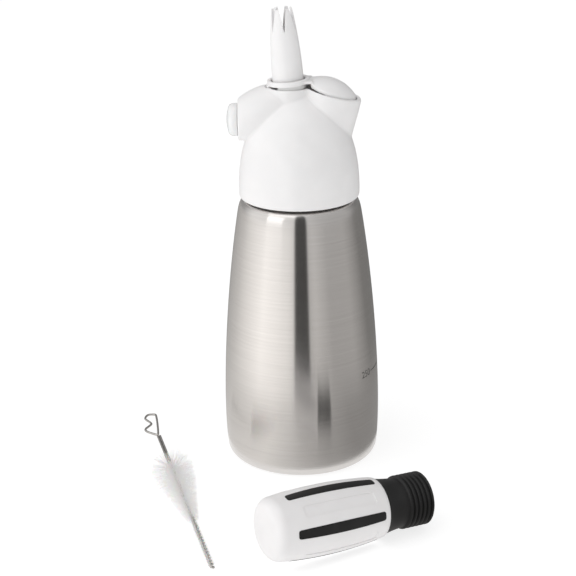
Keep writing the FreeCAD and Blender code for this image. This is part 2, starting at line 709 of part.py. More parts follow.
def make_decorator_tip():
    """Tapered nozzle tip with a star of pointed teeth."""
    base = COLLAR_TOP_Z
    top = base + TIP_LENGTH
    middle = base + 0.5 * TIP_LENGTH
    side = Part.Arc(point(TIP_BASE_R, base), point(TIP_MID_R, middle), point(TIP_TOP_R, top)).toShape()
    rim = polyline([point(TIP_TOP_R, top), point(0, top), point(0, base), point(TIP_BASE_R, base)])
    socket = rod(STEM_R + RUN_GAP, base, base + TIP_SOCKET_DEPTH + RUN_GAP)
    body = turned([side] + rim).cut([tip_hollow(), socket])
    for notch in tip_notches(top):
        body = body.cut(notch)
    return leaned(body)


def tip_hollow():
    """The tapering inside of the decorator tip, above its socket."""
    top = COLLAR_TOP_Z + TIP_LENGTH
    middle = point(TIP_MID_R - TIP_WALL, COLLAR_TOP_Z + 0.5 * TIP_LENGTH + TIP_FUNNEL)
    socket_top = COLLAR_TOP_Z + TIP_SOCKET_DEPTH
    start = point(TIP_BASE_R - TIP_WALL - TIP_SHELF, socket_top + TIP_FUNNEL)
    end = point(TIP_TOP_R - TIP_WALL, top)
    side = Part.Arc(start, middle, end).toShape()
    rim = polyline([end, point(0, top), point(0, socket_top), point(STEM_R, socket_top), start])
    return turned([side] + rim)


def tip_notches(top):
    """The pointed notches between the tip's teeth."""
    root = top - TIP_NOTCH_DEPTH
    mouth = top + TIP_NOTCH_SPARE
    corners = [Vector(0, -TIP_NOTCH_ROOT_HALF_WIDTH, root), Vector(0, TIP_NOTCH_ROOT_HALF_WIDTH, root),
               Vector(0, TIP_NOTCH_HALF_WIDTH, mouth), Vector(0, -TIP_NOTCH_HALF_WIDTH, mouth)]
    wedge = Part.Face(Part.makePolygon(corners + corners[:1])).extrude(Vector(2 * TIP_BASE_R, 0, 0))
    notches = []
    for number in range(TIP_NOTCH_COUNT):
        notch = wedge.copy()
        notch.rotate(Vector(0, 0, 0), Vector(0, 0, 1), TIP_NOTCH_PHASE + 360 * number / TIP_NOTCH_COUNT)
        notches.append(notch)
    return notches


def make_charging_inlet():
    """Metal inlet body in the port, with a threaded stud outside and a tail in the core."""
    back = PORT_FACE_X - INLET_BACK_X
    tail = back - INLET_TAIL_LENGTH
    root = INLET_STUD_R - INLET_THREAD_DEPTH
    body = rod(INLET_R, back, 0.0).fuse([rod(INLET_TAIL_R, tail, back), rod(root, 0.0, INLET_STUD_LENGTH)])
    turns = int(INLET_STUD_LENGTH / INLET_THREAD_PITCH)
    body = body.fuse(threaded(root, INLET_STUD_R, FACE_GAP, INLET_THREAD_PITCH, turns))
    floor = INLET_STUD_LENGTH - INLET_MOUTH_DEPTH
    mouth = rod(INLET_MOUTH_R, floor, INLET_STUD_LENGTH)
    pin_seat = rod(FILTER_R, floor - PIN_BASE_LENGTH - FILTER_THICK, floor)
    gas = rod(INLET_GAS_R, tail, floor)
    sleeve_well = rod(INLET_GAS_R + CHECK_SLEEVE_WALL, tail, tail + CHECK_SLEEVE_LENGTH)
    groove = tube(INLET_R + SPARE, INLET_R - 2 * INLET_SEAL_WIRE_R, -INLET_SEAL_BACK - INLET_SEAL_WIRE_R,
                  -INLET_SEAL_BACK + INLET_SEAL_WIRE_R)
    return facing_port(body.cut([mouth, pin_seat, gas, sleeve_well, groove]).removeSplitter())


def make_inlet_o_ring():
    """Rubber ring round the inlet body."""
    wire = INLET_SEAL_WIRE_R - INLET_SEAL_SLACK
    return facing_port(Part.makeTorus(INLET_R - INLET_SEAL_WIRE_R, wire, Vector(0, 0, -INLET_SEAL_BACK)))


def make_piercing_pin():
    """Hollow steel pin that pierces the charger's seal."""
    floor = INLET_STUD_LENGTH - INLET_MOUTH_DEPTH
    spike = Part.makeCone(PIN_POINT_R, PIN_POINT_TIP_R, PIN_POINT_LENGTH, Vector(0, 0, floor))
    pin = rod(FILTER_R, floor - PIN_BASE_LENGTH, floor).fuse(spike)
    return facing_port(pin.cut(rod(PIN_POINT_BORE_R, floor - PIN_BASE_LENGTH, floor)))


def make_inlet_filter():
    """Fine metal screen behind the piercing pin."""
    floor = INLET_STUD_LENGTH - INLET_MOUTH_DEPTH - PIN_BASE_LENGTH
    return facing_port(tube(FILTER_R, FILTER_HOLE_R, floor - FILTER_THICK, floor))


def make_inlet_gasket():
    """Rubber washer in the inlet's mouth that seals on the charger's neck."""
    floor = INLET_STUD_LENGTH - INLET_MOUTH_DEPTH
    return facing_port(tube(INLET_MOUTH_R, PIN_POINT_R + INLET_GASKET_GAP, floor, floor + INLET_GASKET_THICK))


def make_check_valve():
    """Rubber sleeve that lets gas in and not out."""
    tail = PORT_FACE_X - INLET_BACK_X - INLET_TAIL_LENGTH
    return facing_port(tube(INLET_GAS_R + CHECK_SLEEVE_WALL, INLET_GAS_R, tail, tail + CHECK_SLEEVE_LENGTH))


def make_protective_cap():
    """Domed cover over the charging inlet."""
    flat_r = CAP_R - CAP_EDGE_ROUND
    rise = CAP_PROUD - CAP_CROWN_RISE
    diagonal = math.sqrt(0.5) * CAP_EDGE_ROUND
    knee = point(CAP_R, rise - CAP_EDGE_ROUND)
    shoulder = point(flat_r, rise)
    edge = Part.Arc(knee, point(flat_r + diagonal, rise - CAP_EDGE_ROUND + diagonal), shoulder).toShape()
    crown_r = (flat_r ** 2 + CAP_CROWN_RISE ** 2) / (2 * CAP_CROWN_RISE)
    crown_mid = point(0.5 * flat_r, CAP_PROUD - crown_r + math.sqrt(crown_r ** 2 - 0.25 * flat_r ** 2))
    apex = point(0, CAP_PROUD)
    crown = Part.Arc(shoulder, crown_mid, apex).toShape()
    foot = polyline([apex, point(0, SIDE_GAP), point(CAP_R, SIDE_GAP), knee])
    hollow = rod(INLET_STUD_R + RUN_GAP, SIDE_GAP, INLET_STUD_LENGTH + FACE_GAP)
    return facing_port(turned([edge, crown] + foot).cut(hollow))


def holder_slope():
    """Tilt of the lying holder, which rests on its ribs and its belly."""
    return math.asin((HOLDER_BELLY_R - HOLDER_RIB_R) / (HOLDER_BELLY - HOLDER_RIB_PITCH))


def lying(shape):
    """Lay a holder piece, built on Z with its mouth at height 0, down on the floor."""
    tilt = math.degrees(holder_slope()) - 90
    across = Vector(0, 1, 0)
    lowest = barrel_solid(-INLAY_PROUD, HOLDER_LENGTH)
    lowest.rotate(Vector(0, 0, 0), across, tilt)
    placed = shape.copy()
    placed.rotate(Vector(0, 0, 0), across, tilt)
    placed.rotate(Vector(0, 0, 0), Vector(0, 0, 1), HOLDER_TURN)
    placed.translate(Vector(HOLDER_MOUTH_X, HOLDER_MOUTH_Y, -lowest.optimalBoundingBox().ZMin))
    return placed


def barrel_side(inset, start, end):
    """The barrel's bulging flank as one curve."""
    first = point(HOLDER_SPLIT_R - inset, start)
    belly = point(HOLDER_BELLY_R - inset, HOLDER_BELLY)
    last = point(HOLDER_END_R - inset, end)
    curve = Part.BSplineCurve()
    curve.interpolate([first, belly, last])
    return curve.toShape()


def barrel_solid(inset, end):
    """The barrel's full outer body, moved in by an inset."""
    side_end = end - HOLDER_END_ROUND
    flat_r = HOLDER_END_R - inset - HOLDER_END_ROUND
    diagonal = math.sqrt(0.5) * HOLDER_END_ROUND
    turn = point(flat_r + diagonal, side_end + diagonal)
    edges = [
        Part.makeLine(point(0, HOLDER_SPLIT), point(HOLDER_SPLIT_R - inset, HOLDER_SPLIT)),
        barrel_side(inset, HOLDER_SPLIT, side_end),
        Part.Arc(point(HOLDER_END_R - inset, side_end), turn, point(flat_r, end)).toShape(),
        Part.makeLine(point(flat_r, end), point(0, end)),
        Part.makeLine(point(0, end), point(0, HOLDER_SPLIT))]
    return turned(edges)


def inlay_cutters(width, start, length):
    """Flat blocks at the places of the grip inlays."""
    cutters = []
    for number in range(INLAY_COUNT):
        block = Part.makeBox(HOLDER_BELLY_R + SPARE, width, length, Vector(0, -0.5 * width, start))
        block.rotate(Vector(0, 0, 0), Vector(0, 0, 1), INLAY_PHASE + 360 * number / INLAY_COUNT)
        cutters.append(block)
    return cutters


def make_holder_barrel():
    """White closed barrel of the charger holder."""
    body = barrel_solid(0.0, HOLDER_LENGTH)
    bore = rod(HOLDER_BORE_R, HOLDER_SPLIT, HOLDER_LENGTH - HOLDER_END_WALL)
    spigot = rod(HOLDER_SPIGOT_R + RUN_GAP, HOLDER_SPLIT, HOLDER_SPLIT + HOLDER_SPIGOT_LENGTH + RUN_GAP)
    slots = [block.cut(barrel_solid(INLAY_DEPTH, HOLDER_LENGTH + SPARE))
             for block in inlay_cutters(INLAY_WIDTH, INLAY_START, INLAY_LENGTH)]
    return lying(body.cut([bore, spigot] + slots))


def make_holder_inlays():
    """Black grip strips set in the barrel's slots."""
    band = barrel_solid(-INLAY_PROUD, HOLDER_LENGTH).cut(barrel_solid(INLAY_DEPTH, HOLDER_LENGTH + SPARE))
    strips = [lying(band.common(block)) for block in inlay_cutters(INLAY_WIDTH, INLAY_START, INLAY_LENGTH)]
    return Part.makeCompound(strips)


def make_holder_sleeve():
    """Black ribbed sleeve at the holder's mouth."""
    ribs_end = HOLDER_RIB_COUNT * HOLDER_RIB_PITCH
    corners = [point(INLET_STUD_R + LINER_WALL, 0.0), point(HOLDER_RIB_R - HOLDER_RIB_DEPTH, 0.0)]
    for number in range(HOLDER_RIB_COUNT):
        foot = number * HOLDER_RIB_PITCH
        corners += [point(HOLDER_RIB_R, foot + HOLDER_RIB_RAMP),
                    point(HOLDER_RIB_R, foot + HOLDER_RIB_CREST_SHARE * HOLDER_RIB_PITCH),
                    point(HOLDER_RIB_R - HOLDER_RIB_DEPTH, foot + HOLDER_RIB_FOOT_SHARE * HOLDER_RIB_PITCH),
                    point(HOLDER_RIB_R - HOLDER_RIB_DEPTH, foot + HOLDER_RIB_PITCH)]
    middle = point(HOLDER_NECK_R, 0.5 * (ribs_end + HOLDER_SPLIT) + HOLDER_NECK_SHIFT)
    flare_end = point(HOLDER_SPLIT_R - SIDE_GAP, HOLDER_SPLIT)
    flare = Part.Arc(corners[-1], middle, flare_end).toShape()
    spigot_end = HOLDER_SPLIT + HOLDER_SPIGOT_LENGTH
    tail = [flare_end, point(HOLDER_SPIGOT_R, HOLDER_SPLIT), point(HOLDER_SPIGOT_R, spigot_end),
            point(HOLDER_BORE_R, spigot_end), point(HOLDER_BORE_R, LINER_LENGTH),
            point(INLET_STUD_R + LINER_WALL, LINER_LENGTH), corners[0]]
    return lying(turned(polyline(corners) + [flare] + polyline(tail)))


def make_holder_liner():
    """Metal threaded liner in the sleeve's mouth, made to take the inlet's stud."""
    root = INLET_STUD_R + RUN_GAP
    outer = INLET_STUD_R + LINER_WALL
    liner = tube(outer, root + INLET_THREAD_DEPTH, 0.0, LINER_LENGTH)
    crests = threaded(root + INLET_THREAD_DEPTH, root, FACE_GAP, INLET_THREAD_PITCH, LINER_THREAD_TURNS)
    return lying(liner.fuse(crests).removeSplitter())


def make_charger_cushion():
    """Rubber pad at the barrel's closed end."""
    end = HOLDER_LENGTH - HOLDER_END_WALL
    return lying(tube(HOLDER_BORE_R, CUSHION_HOLE_R, end - CUSHION_THICK, end))


def brush_axis():
    """Tail end, unit direction and length of the brush's straight wire."""
    tail = Vector(*BRUSH_TAIL)
    run = Vector(*BRUSH_NECK) - tail
    length = run.Length
    return tail, run.normalize(), length


def on_brush(shape):
    """Place a shape built on Z from the tail end along the brush's wire."""
    tail, heading, _ = brush_axis()
    placed = shape.copy()
    placed.Placement = Placement(tail, Rotation(Vector(0, 0, 1), heading)).multiply(placed.Placement)
    return placed


def make_brush_stem():
    """The two steel wires of the brush, side by side."""
    _, _, length = brush_axis()
    wires = []
    for side in (-1, 1):
        wire = Part.makeCylinder(WIRE_R, length, Vector(side * WIRE_R, 0, 0))
        wires.append(on_brush(wire))
    return Part.makeCompound(wires)


def make_brush_loop():
    """The bent wire loop that the brush is held or hung by."""
    _, heading, _ = brush_axis()
    neck = Vector(*BRUSH_NECK)
    ahead = Vector(heading.x, heading.y, 0).normalize()
    aside = Vector(-ahead.y, ahead.x, 0)
    corners = [neck + ahead * along + aside * across for along, across in LOOP_OUTLINE]
    pieces = []
    for start, end in zip(corners, corners[1:] + corners[:1]):
        run = end - start
        pieces.append(Part.makeCylinder(WIRE_R, run.Length, start, run))
        pieces.append(Part.makeSphere(WIRE_R, start))
    return pieces[0].fuse(pieces[1:])


def without_wires_and_floor(shape, length):
    """Bristles with the wires' room and all below the floor taken away."""
    wires = on_brush(Part.makeBox(4 * WIRE_R, 2 * WIRE_R, length + SPARE, Vector(-2 * WIRE_R, -WIRE_R, 0)))
    floor = Part.makeBox(2 * FLOOR_REACH, 2 * FLOOR_REACH, WASTE, Vector(-FLOOR_REACH, -FLOOR_REACH, -WASTE))
    return shape.cut([wires, floor])


def make_brush_bristles():
    """Plain body of the bristle head, flattened where it lies on the floor."""
    start, end = BRUSH_CONE_START, BRUSH_CONE_END
    cone = turned_points([
        (0, start), (BRUSH_CONE_SMALL_R, start), (BRUSH_CONE_LARGE_R, end - BRUSH_CONE_FLARE),
        (BRUSH_CONE_LARGE_R - BRUSH_CONE_DRAFT, end), (0, end - BRUSH_CONE_HOLLOW)])
    return without_wires_and_floor(on_brush(cone), end)


def make_brush_tail_bristles():
    """Plain body of the short bristles round the wire's tail."""
    sleeve = rod(BRUSH_TAIL_FUR_R, BRUSH_TAIL_FUR_START, BRUSH_CONE_START - SIDE_GAP)
    return without_wires_and_floor(on_brush(sleeve), BRUSH_CONE_START)


MAKERS = {
    "bottle": make_bottle,
    "head_gasket": make_head_gasket,
    "head_shell": make_head_shell,
    "head_core": make_head_core,
    "thread_ring": make_thread_ring,
    "lever": make_lever,
    "lever_pin": make_lever_pin,
    "valve_stem": make_valve_stem,
    "stem_o_rings": make_stem_o_rings,
    "valve_seal": make_valve_seal,
    "valve_poppet": make_valve_poppet,
    "valve_spring": make_valve_spring,
    "decorator_tip": make_decorator_tip,
    "charging_inlet": make_charging_inlet,
    "inlet_o_ring": make_inlet_o_ring,
    "piercing_pin": make_piercing_pin,
    "inlet_filter": make_inlet_filter,
    "inlet_gasket": make_inlet_gasket,
    "check_valve": make_check_valve,
    "protective_cap": make_protective_cap,
    "holder_barrel": make_holder_barrel,
    "holder_inlays": make_holder_inlays,
    "holder_sleeve": make_holder_sleeve,
    "holder_liner": make_holder_liner,
    "charger_cushion": make_charger_cushion,
    "brush_stem": make_brush_stem,
    "brush_loop": make_brush_loop,
    "brush_bristles": make_brush_bristles,
    "brush_tail_bristles": make_brush_tail_bristles,
}

for name, maker in MAKERS.items():
    shape = maker()
    print(name, "solids", len(shape.Solids), "volume", round(shape.Volume, 1), "valid", shape.isValid())
    save(name, shape)
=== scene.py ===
"""Looks of the whipped cream dispenser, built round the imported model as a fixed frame.

The bottle's base centre is the origin and +Z is up. Lengths are metres.
"""
import json
import logging
import math
import random
from dataclasses import dataclass
from enum import Enum
from typing import Callable, Optional, Sequence

import bpy
from mathutils import Matrix, Vector

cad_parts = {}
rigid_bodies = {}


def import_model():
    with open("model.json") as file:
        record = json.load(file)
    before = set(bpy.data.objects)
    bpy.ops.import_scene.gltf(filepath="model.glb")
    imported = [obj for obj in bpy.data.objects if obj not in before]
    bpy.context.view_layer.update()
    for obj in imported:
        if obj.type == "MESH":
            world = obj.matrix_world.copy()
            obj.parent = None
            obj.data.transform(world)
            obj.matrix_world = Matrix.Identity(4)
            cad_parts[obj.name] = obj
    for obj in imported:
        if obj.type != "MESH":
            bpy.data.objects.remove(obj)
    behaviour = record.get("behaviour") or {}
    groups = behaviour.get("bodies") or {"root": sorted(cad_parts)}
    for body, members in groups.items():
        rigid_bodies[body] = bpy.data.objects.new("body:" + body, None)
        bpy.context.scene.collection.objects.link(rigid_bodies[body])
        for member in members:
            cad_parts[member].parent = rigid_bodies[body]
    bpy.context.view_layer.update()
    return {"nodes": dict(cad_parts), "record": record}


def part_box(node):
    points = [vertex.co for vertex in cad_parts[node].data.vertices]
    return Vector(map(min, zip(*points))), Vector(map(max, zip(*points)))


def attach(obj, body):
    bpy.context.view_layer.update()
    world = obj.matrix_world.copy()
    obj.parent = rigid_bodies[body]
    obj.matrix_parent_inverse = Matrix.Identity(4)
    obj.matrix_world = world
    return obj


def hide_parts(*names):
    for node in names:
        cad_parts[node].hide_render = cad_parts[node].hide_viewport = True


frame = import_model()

LOG = logging.getLogger("dispenser")
MM = 0.001
FULL_TURN = 2 * math.pi
RELIEF_DEPTH = 0.0001
GOLDEN_ANGLE = 2.399963
SEAM_MERGE = 0.000002

Point = tuple[float, float]
Piece = bpy.types.Object


class Body(Enum):
    """The moving bodies that pieces ride on."""

    BOTTLE = "bottle"
    HEAD = "head"
    LEVER = "lever"
    TIP = "decorator_tip"
    CAP = "protective_cap"
    SLEEVE = "charger_holder"
    BARREL = "holder_barrel"
    BRUSH = "cleaning_brush"


class Socket:
    """A shader output whose arithmetic adds Math nodes."""

    def __init__(self, finish: "Shader", output: bpy.types.NodeSocket) -> None:
        """Wrap an output.

        Args:
            finish: The shader that the output belongs to.
            output: The output socket.
        """
        self.finish = finish
        self.output = output

    def _math(self, operation: str, first: object, second: object) -> "Socket":
        """Add a Math node for two values or links."""
        return self.finish.node("ShaderNodeMath", {"operation": operation}, {0: first, 1: second})

    def __add__(self, other: object) -> "Socket":
        """Sum."""
        return self._math("ADD", self, other)

    __radd__ = __add__

    def __mul__(self, other: object) -> "Socket":
        """Product."""
        return self._math("MULTIPLY", self, other)

    __rmul__ = __mul__

    def __truediv__(self, other: object) -> "Socket":
        """Quotient."""
        return self._math("DIVIDE", self, other)


class Shader:
    """One procedural material, read on Object coordinates."""

    coordinates = "Object"

    def __init__(self, name: str) -> None:
        """Start an empty material.

        Args:
            name: The material's name.
        """
        self.material = bpy.data.materials.new(name)
        self.material.use_nodes = True
        self.tree = self.material.node_tree
        self.surface = self.tree.nodes["Principled BSDF"]

    def node(self, kind: str, settings: dict, inputs: dict, output: object = 0) -> Socket:
        """Add one node.

        Args:
            kind: The node's type.
            settings: Settings made before its sockets are filled; "stops" fills a colour ramp.
            inputs: Values, colours or Socket links by socket name or number.
            output: The output's name or number.

        Returns:
            The wrapped output.
        """
        made = self.tree.nodes.new(kind)
        for key, value in settings.items():
            if key == "stops":
                ramp = made.color_ramp
                while len(ramp.elements) < len(value):
                    ramp.elements.new(0.5)
                for element, (place, colour) in zip(ramp.elements, value):
                    element.position = place
                    element.color = colour
            else:
                setattr(made, key, value)
        for key, value in inputs.items():
            if isinstance(value, Socket):
                self.tree.links.new(value.output, made.inputs[key])
            else:
                made.inputs[key].default_value = value
        return Socket(self, made.outputs[output])

    def place(self, scale: Sequence[float] = (1, 1, 1), turn: Sequence[float] = (0, 0, 0)) -> Socket:
        """The coordinates, scaled and turned.

        Args:
            scale: Scale along each axis.
            turn: Rotation in radians about each axis.

        Returns:
            The coordinates.
        """
        spot = self.node("ShaderNodeTexCoord", {}, {}, self.coordinates)
        return self.node("ShaderNodeMapping", {}, {"Vector": spot, "Scale": scale, "Rotation": turn})

    def axis(self, name: str) -> Socket:
        """One of the coordinates X, Y or Z."""
        return self.node("ShaderNodeSeparateXYZ", {}, {0: self.place()}, name)

    def bearing(self) -> Socket:
        """Bearing in radians, 0 towards the camera and positive to its right."""
        towards = self.axis("Y") * -1.0
        return self.node("ShaderNodeMath", {"operation": "ARCTAN2"}, {0: self.axis("X"), 1: towards})

    def noise(self, where: Socket, scale: float, detail: float = 3.0, rough: float = 0.5) -> Socket:
        """Noise between 0 and 1 at a place."""
        inputs = {"Vector": where, "Scale": scale, "Detail": detail, "Roughness": rough}
        return self.node("ShaderNodeTexNoise", {}, inputs, 0)

    def steps(self, value: Socket, low: float, high: float, at_low: float = 0.0,
              at_high: float = 1.0) -> Socket:
        """Map a value smoothly from one range to another."""
        inputs = {"Value": value, "From Min": low, "From Max": high, "To Min": at_low, "To Max": at_high}
        return self.node("ShaderNodeMapRange", {"interpolation_type": "SMOOTHSTEP"}, inputs)

    def mix(self, factor: object, first: object, second: object) -> Socket:
        """Mix two colours."""
        inputs = {0: factor, 6: first, 7: second}
        return self.node("ShaderNodeMix", {"data_type": "RGBA"}, inputs, 2)

    def bump(self, height: Socket, strength: float, distance: float) -> Socket:
        """Surface relief from a height."""
        return self.node("ShaderNodeBump", {}, {"Height": height, "Strength": strength, "Distance": distance})

    def put(self, **sockets: object) -> "Shader":
        """Fill sockets of the surface; a space in a socket's name is written as an underscore."""
        for key, value in sockets.items():
            target = self.surface.inputs[key.replace("_", " ")]
            if isinstance(value, Socket):
                self.tree.links.new(value.output, target)
            else:
                target.default_value = value
        return self


class Surround(Shader):
    """The world's own shader, read on the direction of view."""

    coordinates = "Generated"

    def __init__(self, name: str) -> None:
        """Start a plain world.

        Args:
            name: The world's name.
        """
        self.world = bpy.data.worlds.new(name)
        self.world.use_nodes = True
        self.tree = self.world.node_tree
        self.surface = self.tree.nodes["Background"]


@dataclass(frozen=True)
class BrushedSteel:
    """Stainless steel with fine brushing round the axis and softer broad bands."""

    name: str = "bottle_steel"
    colour: tuple = (0.70, 0.675, 0.655, 1)
    dark: tuple = (0.64, 0.615, 0.595, 1)
    roughness: float = 0.15
    hair: tuple = (14, 14, 2600)
    grain: tuple = (60, 60, 9000)
    cloud: tuple = (18, 18, 40)
    relief: float = 0.05
    anisotropy: float = 0.95
    streak_turn: float = 0.25

    def make(self) -> bpy.types.Material:
        """Build the material."""
        look = Shader(self.name)
        hair = look.noise(look.place(self.hair), 1.0, 4.0, 0.6)
        grain = look.noise(look.place(self.grain), 1.0, 2.0, 0.7)
        cloud = look.noise(look.place(self.cloud), 1.0, 3.0)
        lines = hair * 0.6 + grain * 0.4
        tone = look.mix(look.steps(lines, 0.3, 0.7), self.dark, self.colour)
        rough = self.roughness + 0.05 * lines + 0.02 * cloud
        relief = look.bump(lines, self.relief, RELIEF_DEPTH)
        look.put(Base_Color=tone, Metallic=1.0, Roughness=rough, Normal=relief)
        look.put(Anisotropic=self.anisotropy, Anisotropic_Rotation=self.streak_turn)
        return look.material


@dataclass(frozen=True)
class MouldedPlastic:
    """Moulded plastic with a faint orange-peel skin and slightly dulled patches."""

    name: str
    colour: tuple
    roughness: float = 0.32
    peel: float = 0.05
    scatter: float = 0.0
    coat: float = 0.0
    peel_scale: float = 900.0
    cloud_scale: float = 60.0
    shade: float = 0.965
    scatter_reach: float = 0.002
    scatter_tint: tuple = (1.0, 0.9, 0.85)
    index: float = 1.49

    def make(self) -> bpy.types.Material:
        """Build the material."""
        look = Shader(self.name)
        peel = look.noise(look.place(), self.peel_scale, 2.0)
        cloud = look.noise(look.place(), self.cloud_scale, 3.0)
        shade = tuple(self.shade * c for c in self.colour[:3]) + (1,)
        tone = look.mix(look.steps(cloud, 0.35, 0.7), self.colour, shade)
        rough = self.roughness + 0.08 * cloud
        look.put(Base_Color=tone, Roughness=rough, Normal=look.bump(peel, self.peel, RELIEF_DEPTH))
        look.put(Subsurface_Weight=self.scatter, Subsurface_Scale=self.scatter_reach, Coat_Weight=self.coat)
        look.put(Subsurface_Radius=self.scatter_tint, IOR=self.index)
        return look.material


@dataclass(frozen=True)
class SoftRubber:
    """Matte rubber with a fine pebbled skin."""

    name: str
    colour: tuple
    roughness: float = 0.55
    pebble_scale: float = 2600.0
    dust_scale: float = 120.0
    pebble_depth: float = 0.00008

    def make(self) -> bpy.types.Material:
        """Build the material."""
        look = Shader(self.name)
        pebble = look.noise(look.place(), self.pebble_scale, 2.0)
        dust = look.noise(look.place(), self.dust_scale, 4.0)
        pale = tuple(1.6 * c + 0.002 for c in self.colour[:3]) + (1,)
        tone = look.mix(look.steps(dust, 0.45, 0.75), self.colour, pale)
        look.put(Base_Color=tone, Roughness=self.roughness + 0.12 * dust)
        look.put(Normal=look.bump(pebble, 0.25, self.pebble_depth), Specular_IOR_Level=0.4)
        return look.material


@dataclass(frozen=True)
class TurnedMetal:
    """Machined or drawn metal with fine tool marks."""

    name: str
    colour: tuple
    roughness: float = 0.25
    marks: tuple = (40.0, 40.0, 3000.0)
    cloud_scale: float = 200.0
    shade: float = 0.8

    def make(self) -> bpy.types.Material:
        """Build the material."""
        look = Shader(self.name)
        marks = look.noise(look.place(self.marks), 1.0, 3.0)
        cloud = look.noise(look.place(), self.cloud_scale, 3.0)
        dark = tuple(self.shade * c for c in self.colour[:3]) + (1,)
        tone = look.mix(look.steps(marks, 0.3, 0.7), dark, self.colour)
        look.put(Base_Color=tone, Metallic=1.0, Roughness=self.roughness + 0.12 * cloud)
        look.put(Normal=look.bump(marks, 0.08, RELIEF_DEPTH))
        return look.material


@dataclass(frozen=True)
class NylonFibre:
    """Pale translucent nylon bristle with whiter patches."""

    name: str = "bristle_nylon"
    colour: tuple = (0.90, 0.88, 0.87, 1)
    whiter: tuple = (0.97, 0.96, 0.96, 1)
    cloud_scale: float = 400.0

    def make(self) -> bpy.types.Material:
        """Build the material."""
        look = Shader(self.name)
        cloud = look.noise(look.place(), self.cloud_scale, 2.0)
        tone = look.mix(cloud, self.colour, self.whiter)
        look.put(Base_Color=tone, Roughness=0.35 + 0.1 * cloud, Subsurface_Weight=0.4)
        look.put(Subsurface_Scale=0.001, IOR=1.5)
        return look.material


@dataclass(frozen=True)
class PrintedInk:
    """Grey screen print with a slightly broken edge."""

    name: str = "fill_mark_ink"
    colour: tuple = (0.10, 0.095, 0.09, 1)
    worn: tuple = (0.2, 0.19, 0.185, 1)
    wear_scale: float = 3000.0

    def make(self) -> bpy.types.Material:
        """Build the material."""
        look = Shader(self.name)
        wear = look.noise(look.place(), self.wear_scale, 3.0)
        tone = look.mix(look.steps(wear, 0.55, 0.8), self.colour, self.worn)
        look.put(Base_Color=tone, Roughness=0.5 + 0.1 * wear)
        return look.material


class Finishes:
    """Every finish by its material slot, made once."""

    def __init__(self) -> None:
        """Make the materials."""
        white = (0.915, 0.905, 0.905, 1)
        made = [
            BrushedSteel(),
            MouldedPlastic("head_white", white, 0.30, 0.04, 0.12),
            MouldedPlastic("core_white", (0.80, 0.80, 0.79, 1), 0.45, 0.06),
            MouldedPlastic("cap_white", (0.95, 0.945, 0.94, 1), 0.22, 0.02, 0.45),
            MouldedPlastic("holder_white", (0.90, 0.885, 0.885, 1), 0.34, 0.05, 0.08),
            SoftRubber("holder_black", (0.006, 0.0058, 0.0058, 1), 0.36),
            SoftRubber("seal_rubber", (0.02, 0.02, 0.02, 1)),
            SoftRubber("seal_silicone", (0.72, 0.70, 0.66, 1), 0.4),
            TurnedMetal("stem_steel", (0.66, 0.65, 0.64, 1)),
            TurnedMetal("spring_steel", (0.58, 0.57, 0.56, 1), 0.2, (900.0, 900.0, 900.0)),
            TurnedMetal("inlet_steel", (0.64, 0.63, 0.61, 1), 0.22, (3000.0, 40.0, 40.0)),
            TurnedMetal("liner_aluminium", (0.72, 0.72, 0.72, 1), 0.3, (400.0, 400.0, 400.0)),
            TurnedMetal("wire_steel", (0.56, 0.54, 0.52, 1), 0.24, (900.0, 300.0, 900.0)),
            NylonFibre(),
            PrintedInk()]
        self.by_name = {finish.name: finish.make() for finish in made}

    def dress(self, piece: Piece, slot: str) -> None:
        """Give a piece one finish.

        Args:
            piece: The piece.
            slot: The finish's name.
        """
        piece.data.materials.clear()
        piece.data.materials.append(self.by_name[slot])

    def dress_frame(self) -> None:
        """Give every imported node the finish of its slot."""
        for entry in frame["record"]["subparts"]:
            self.dress(frame["nodes"][entry["node"]], entry["material_slot"])


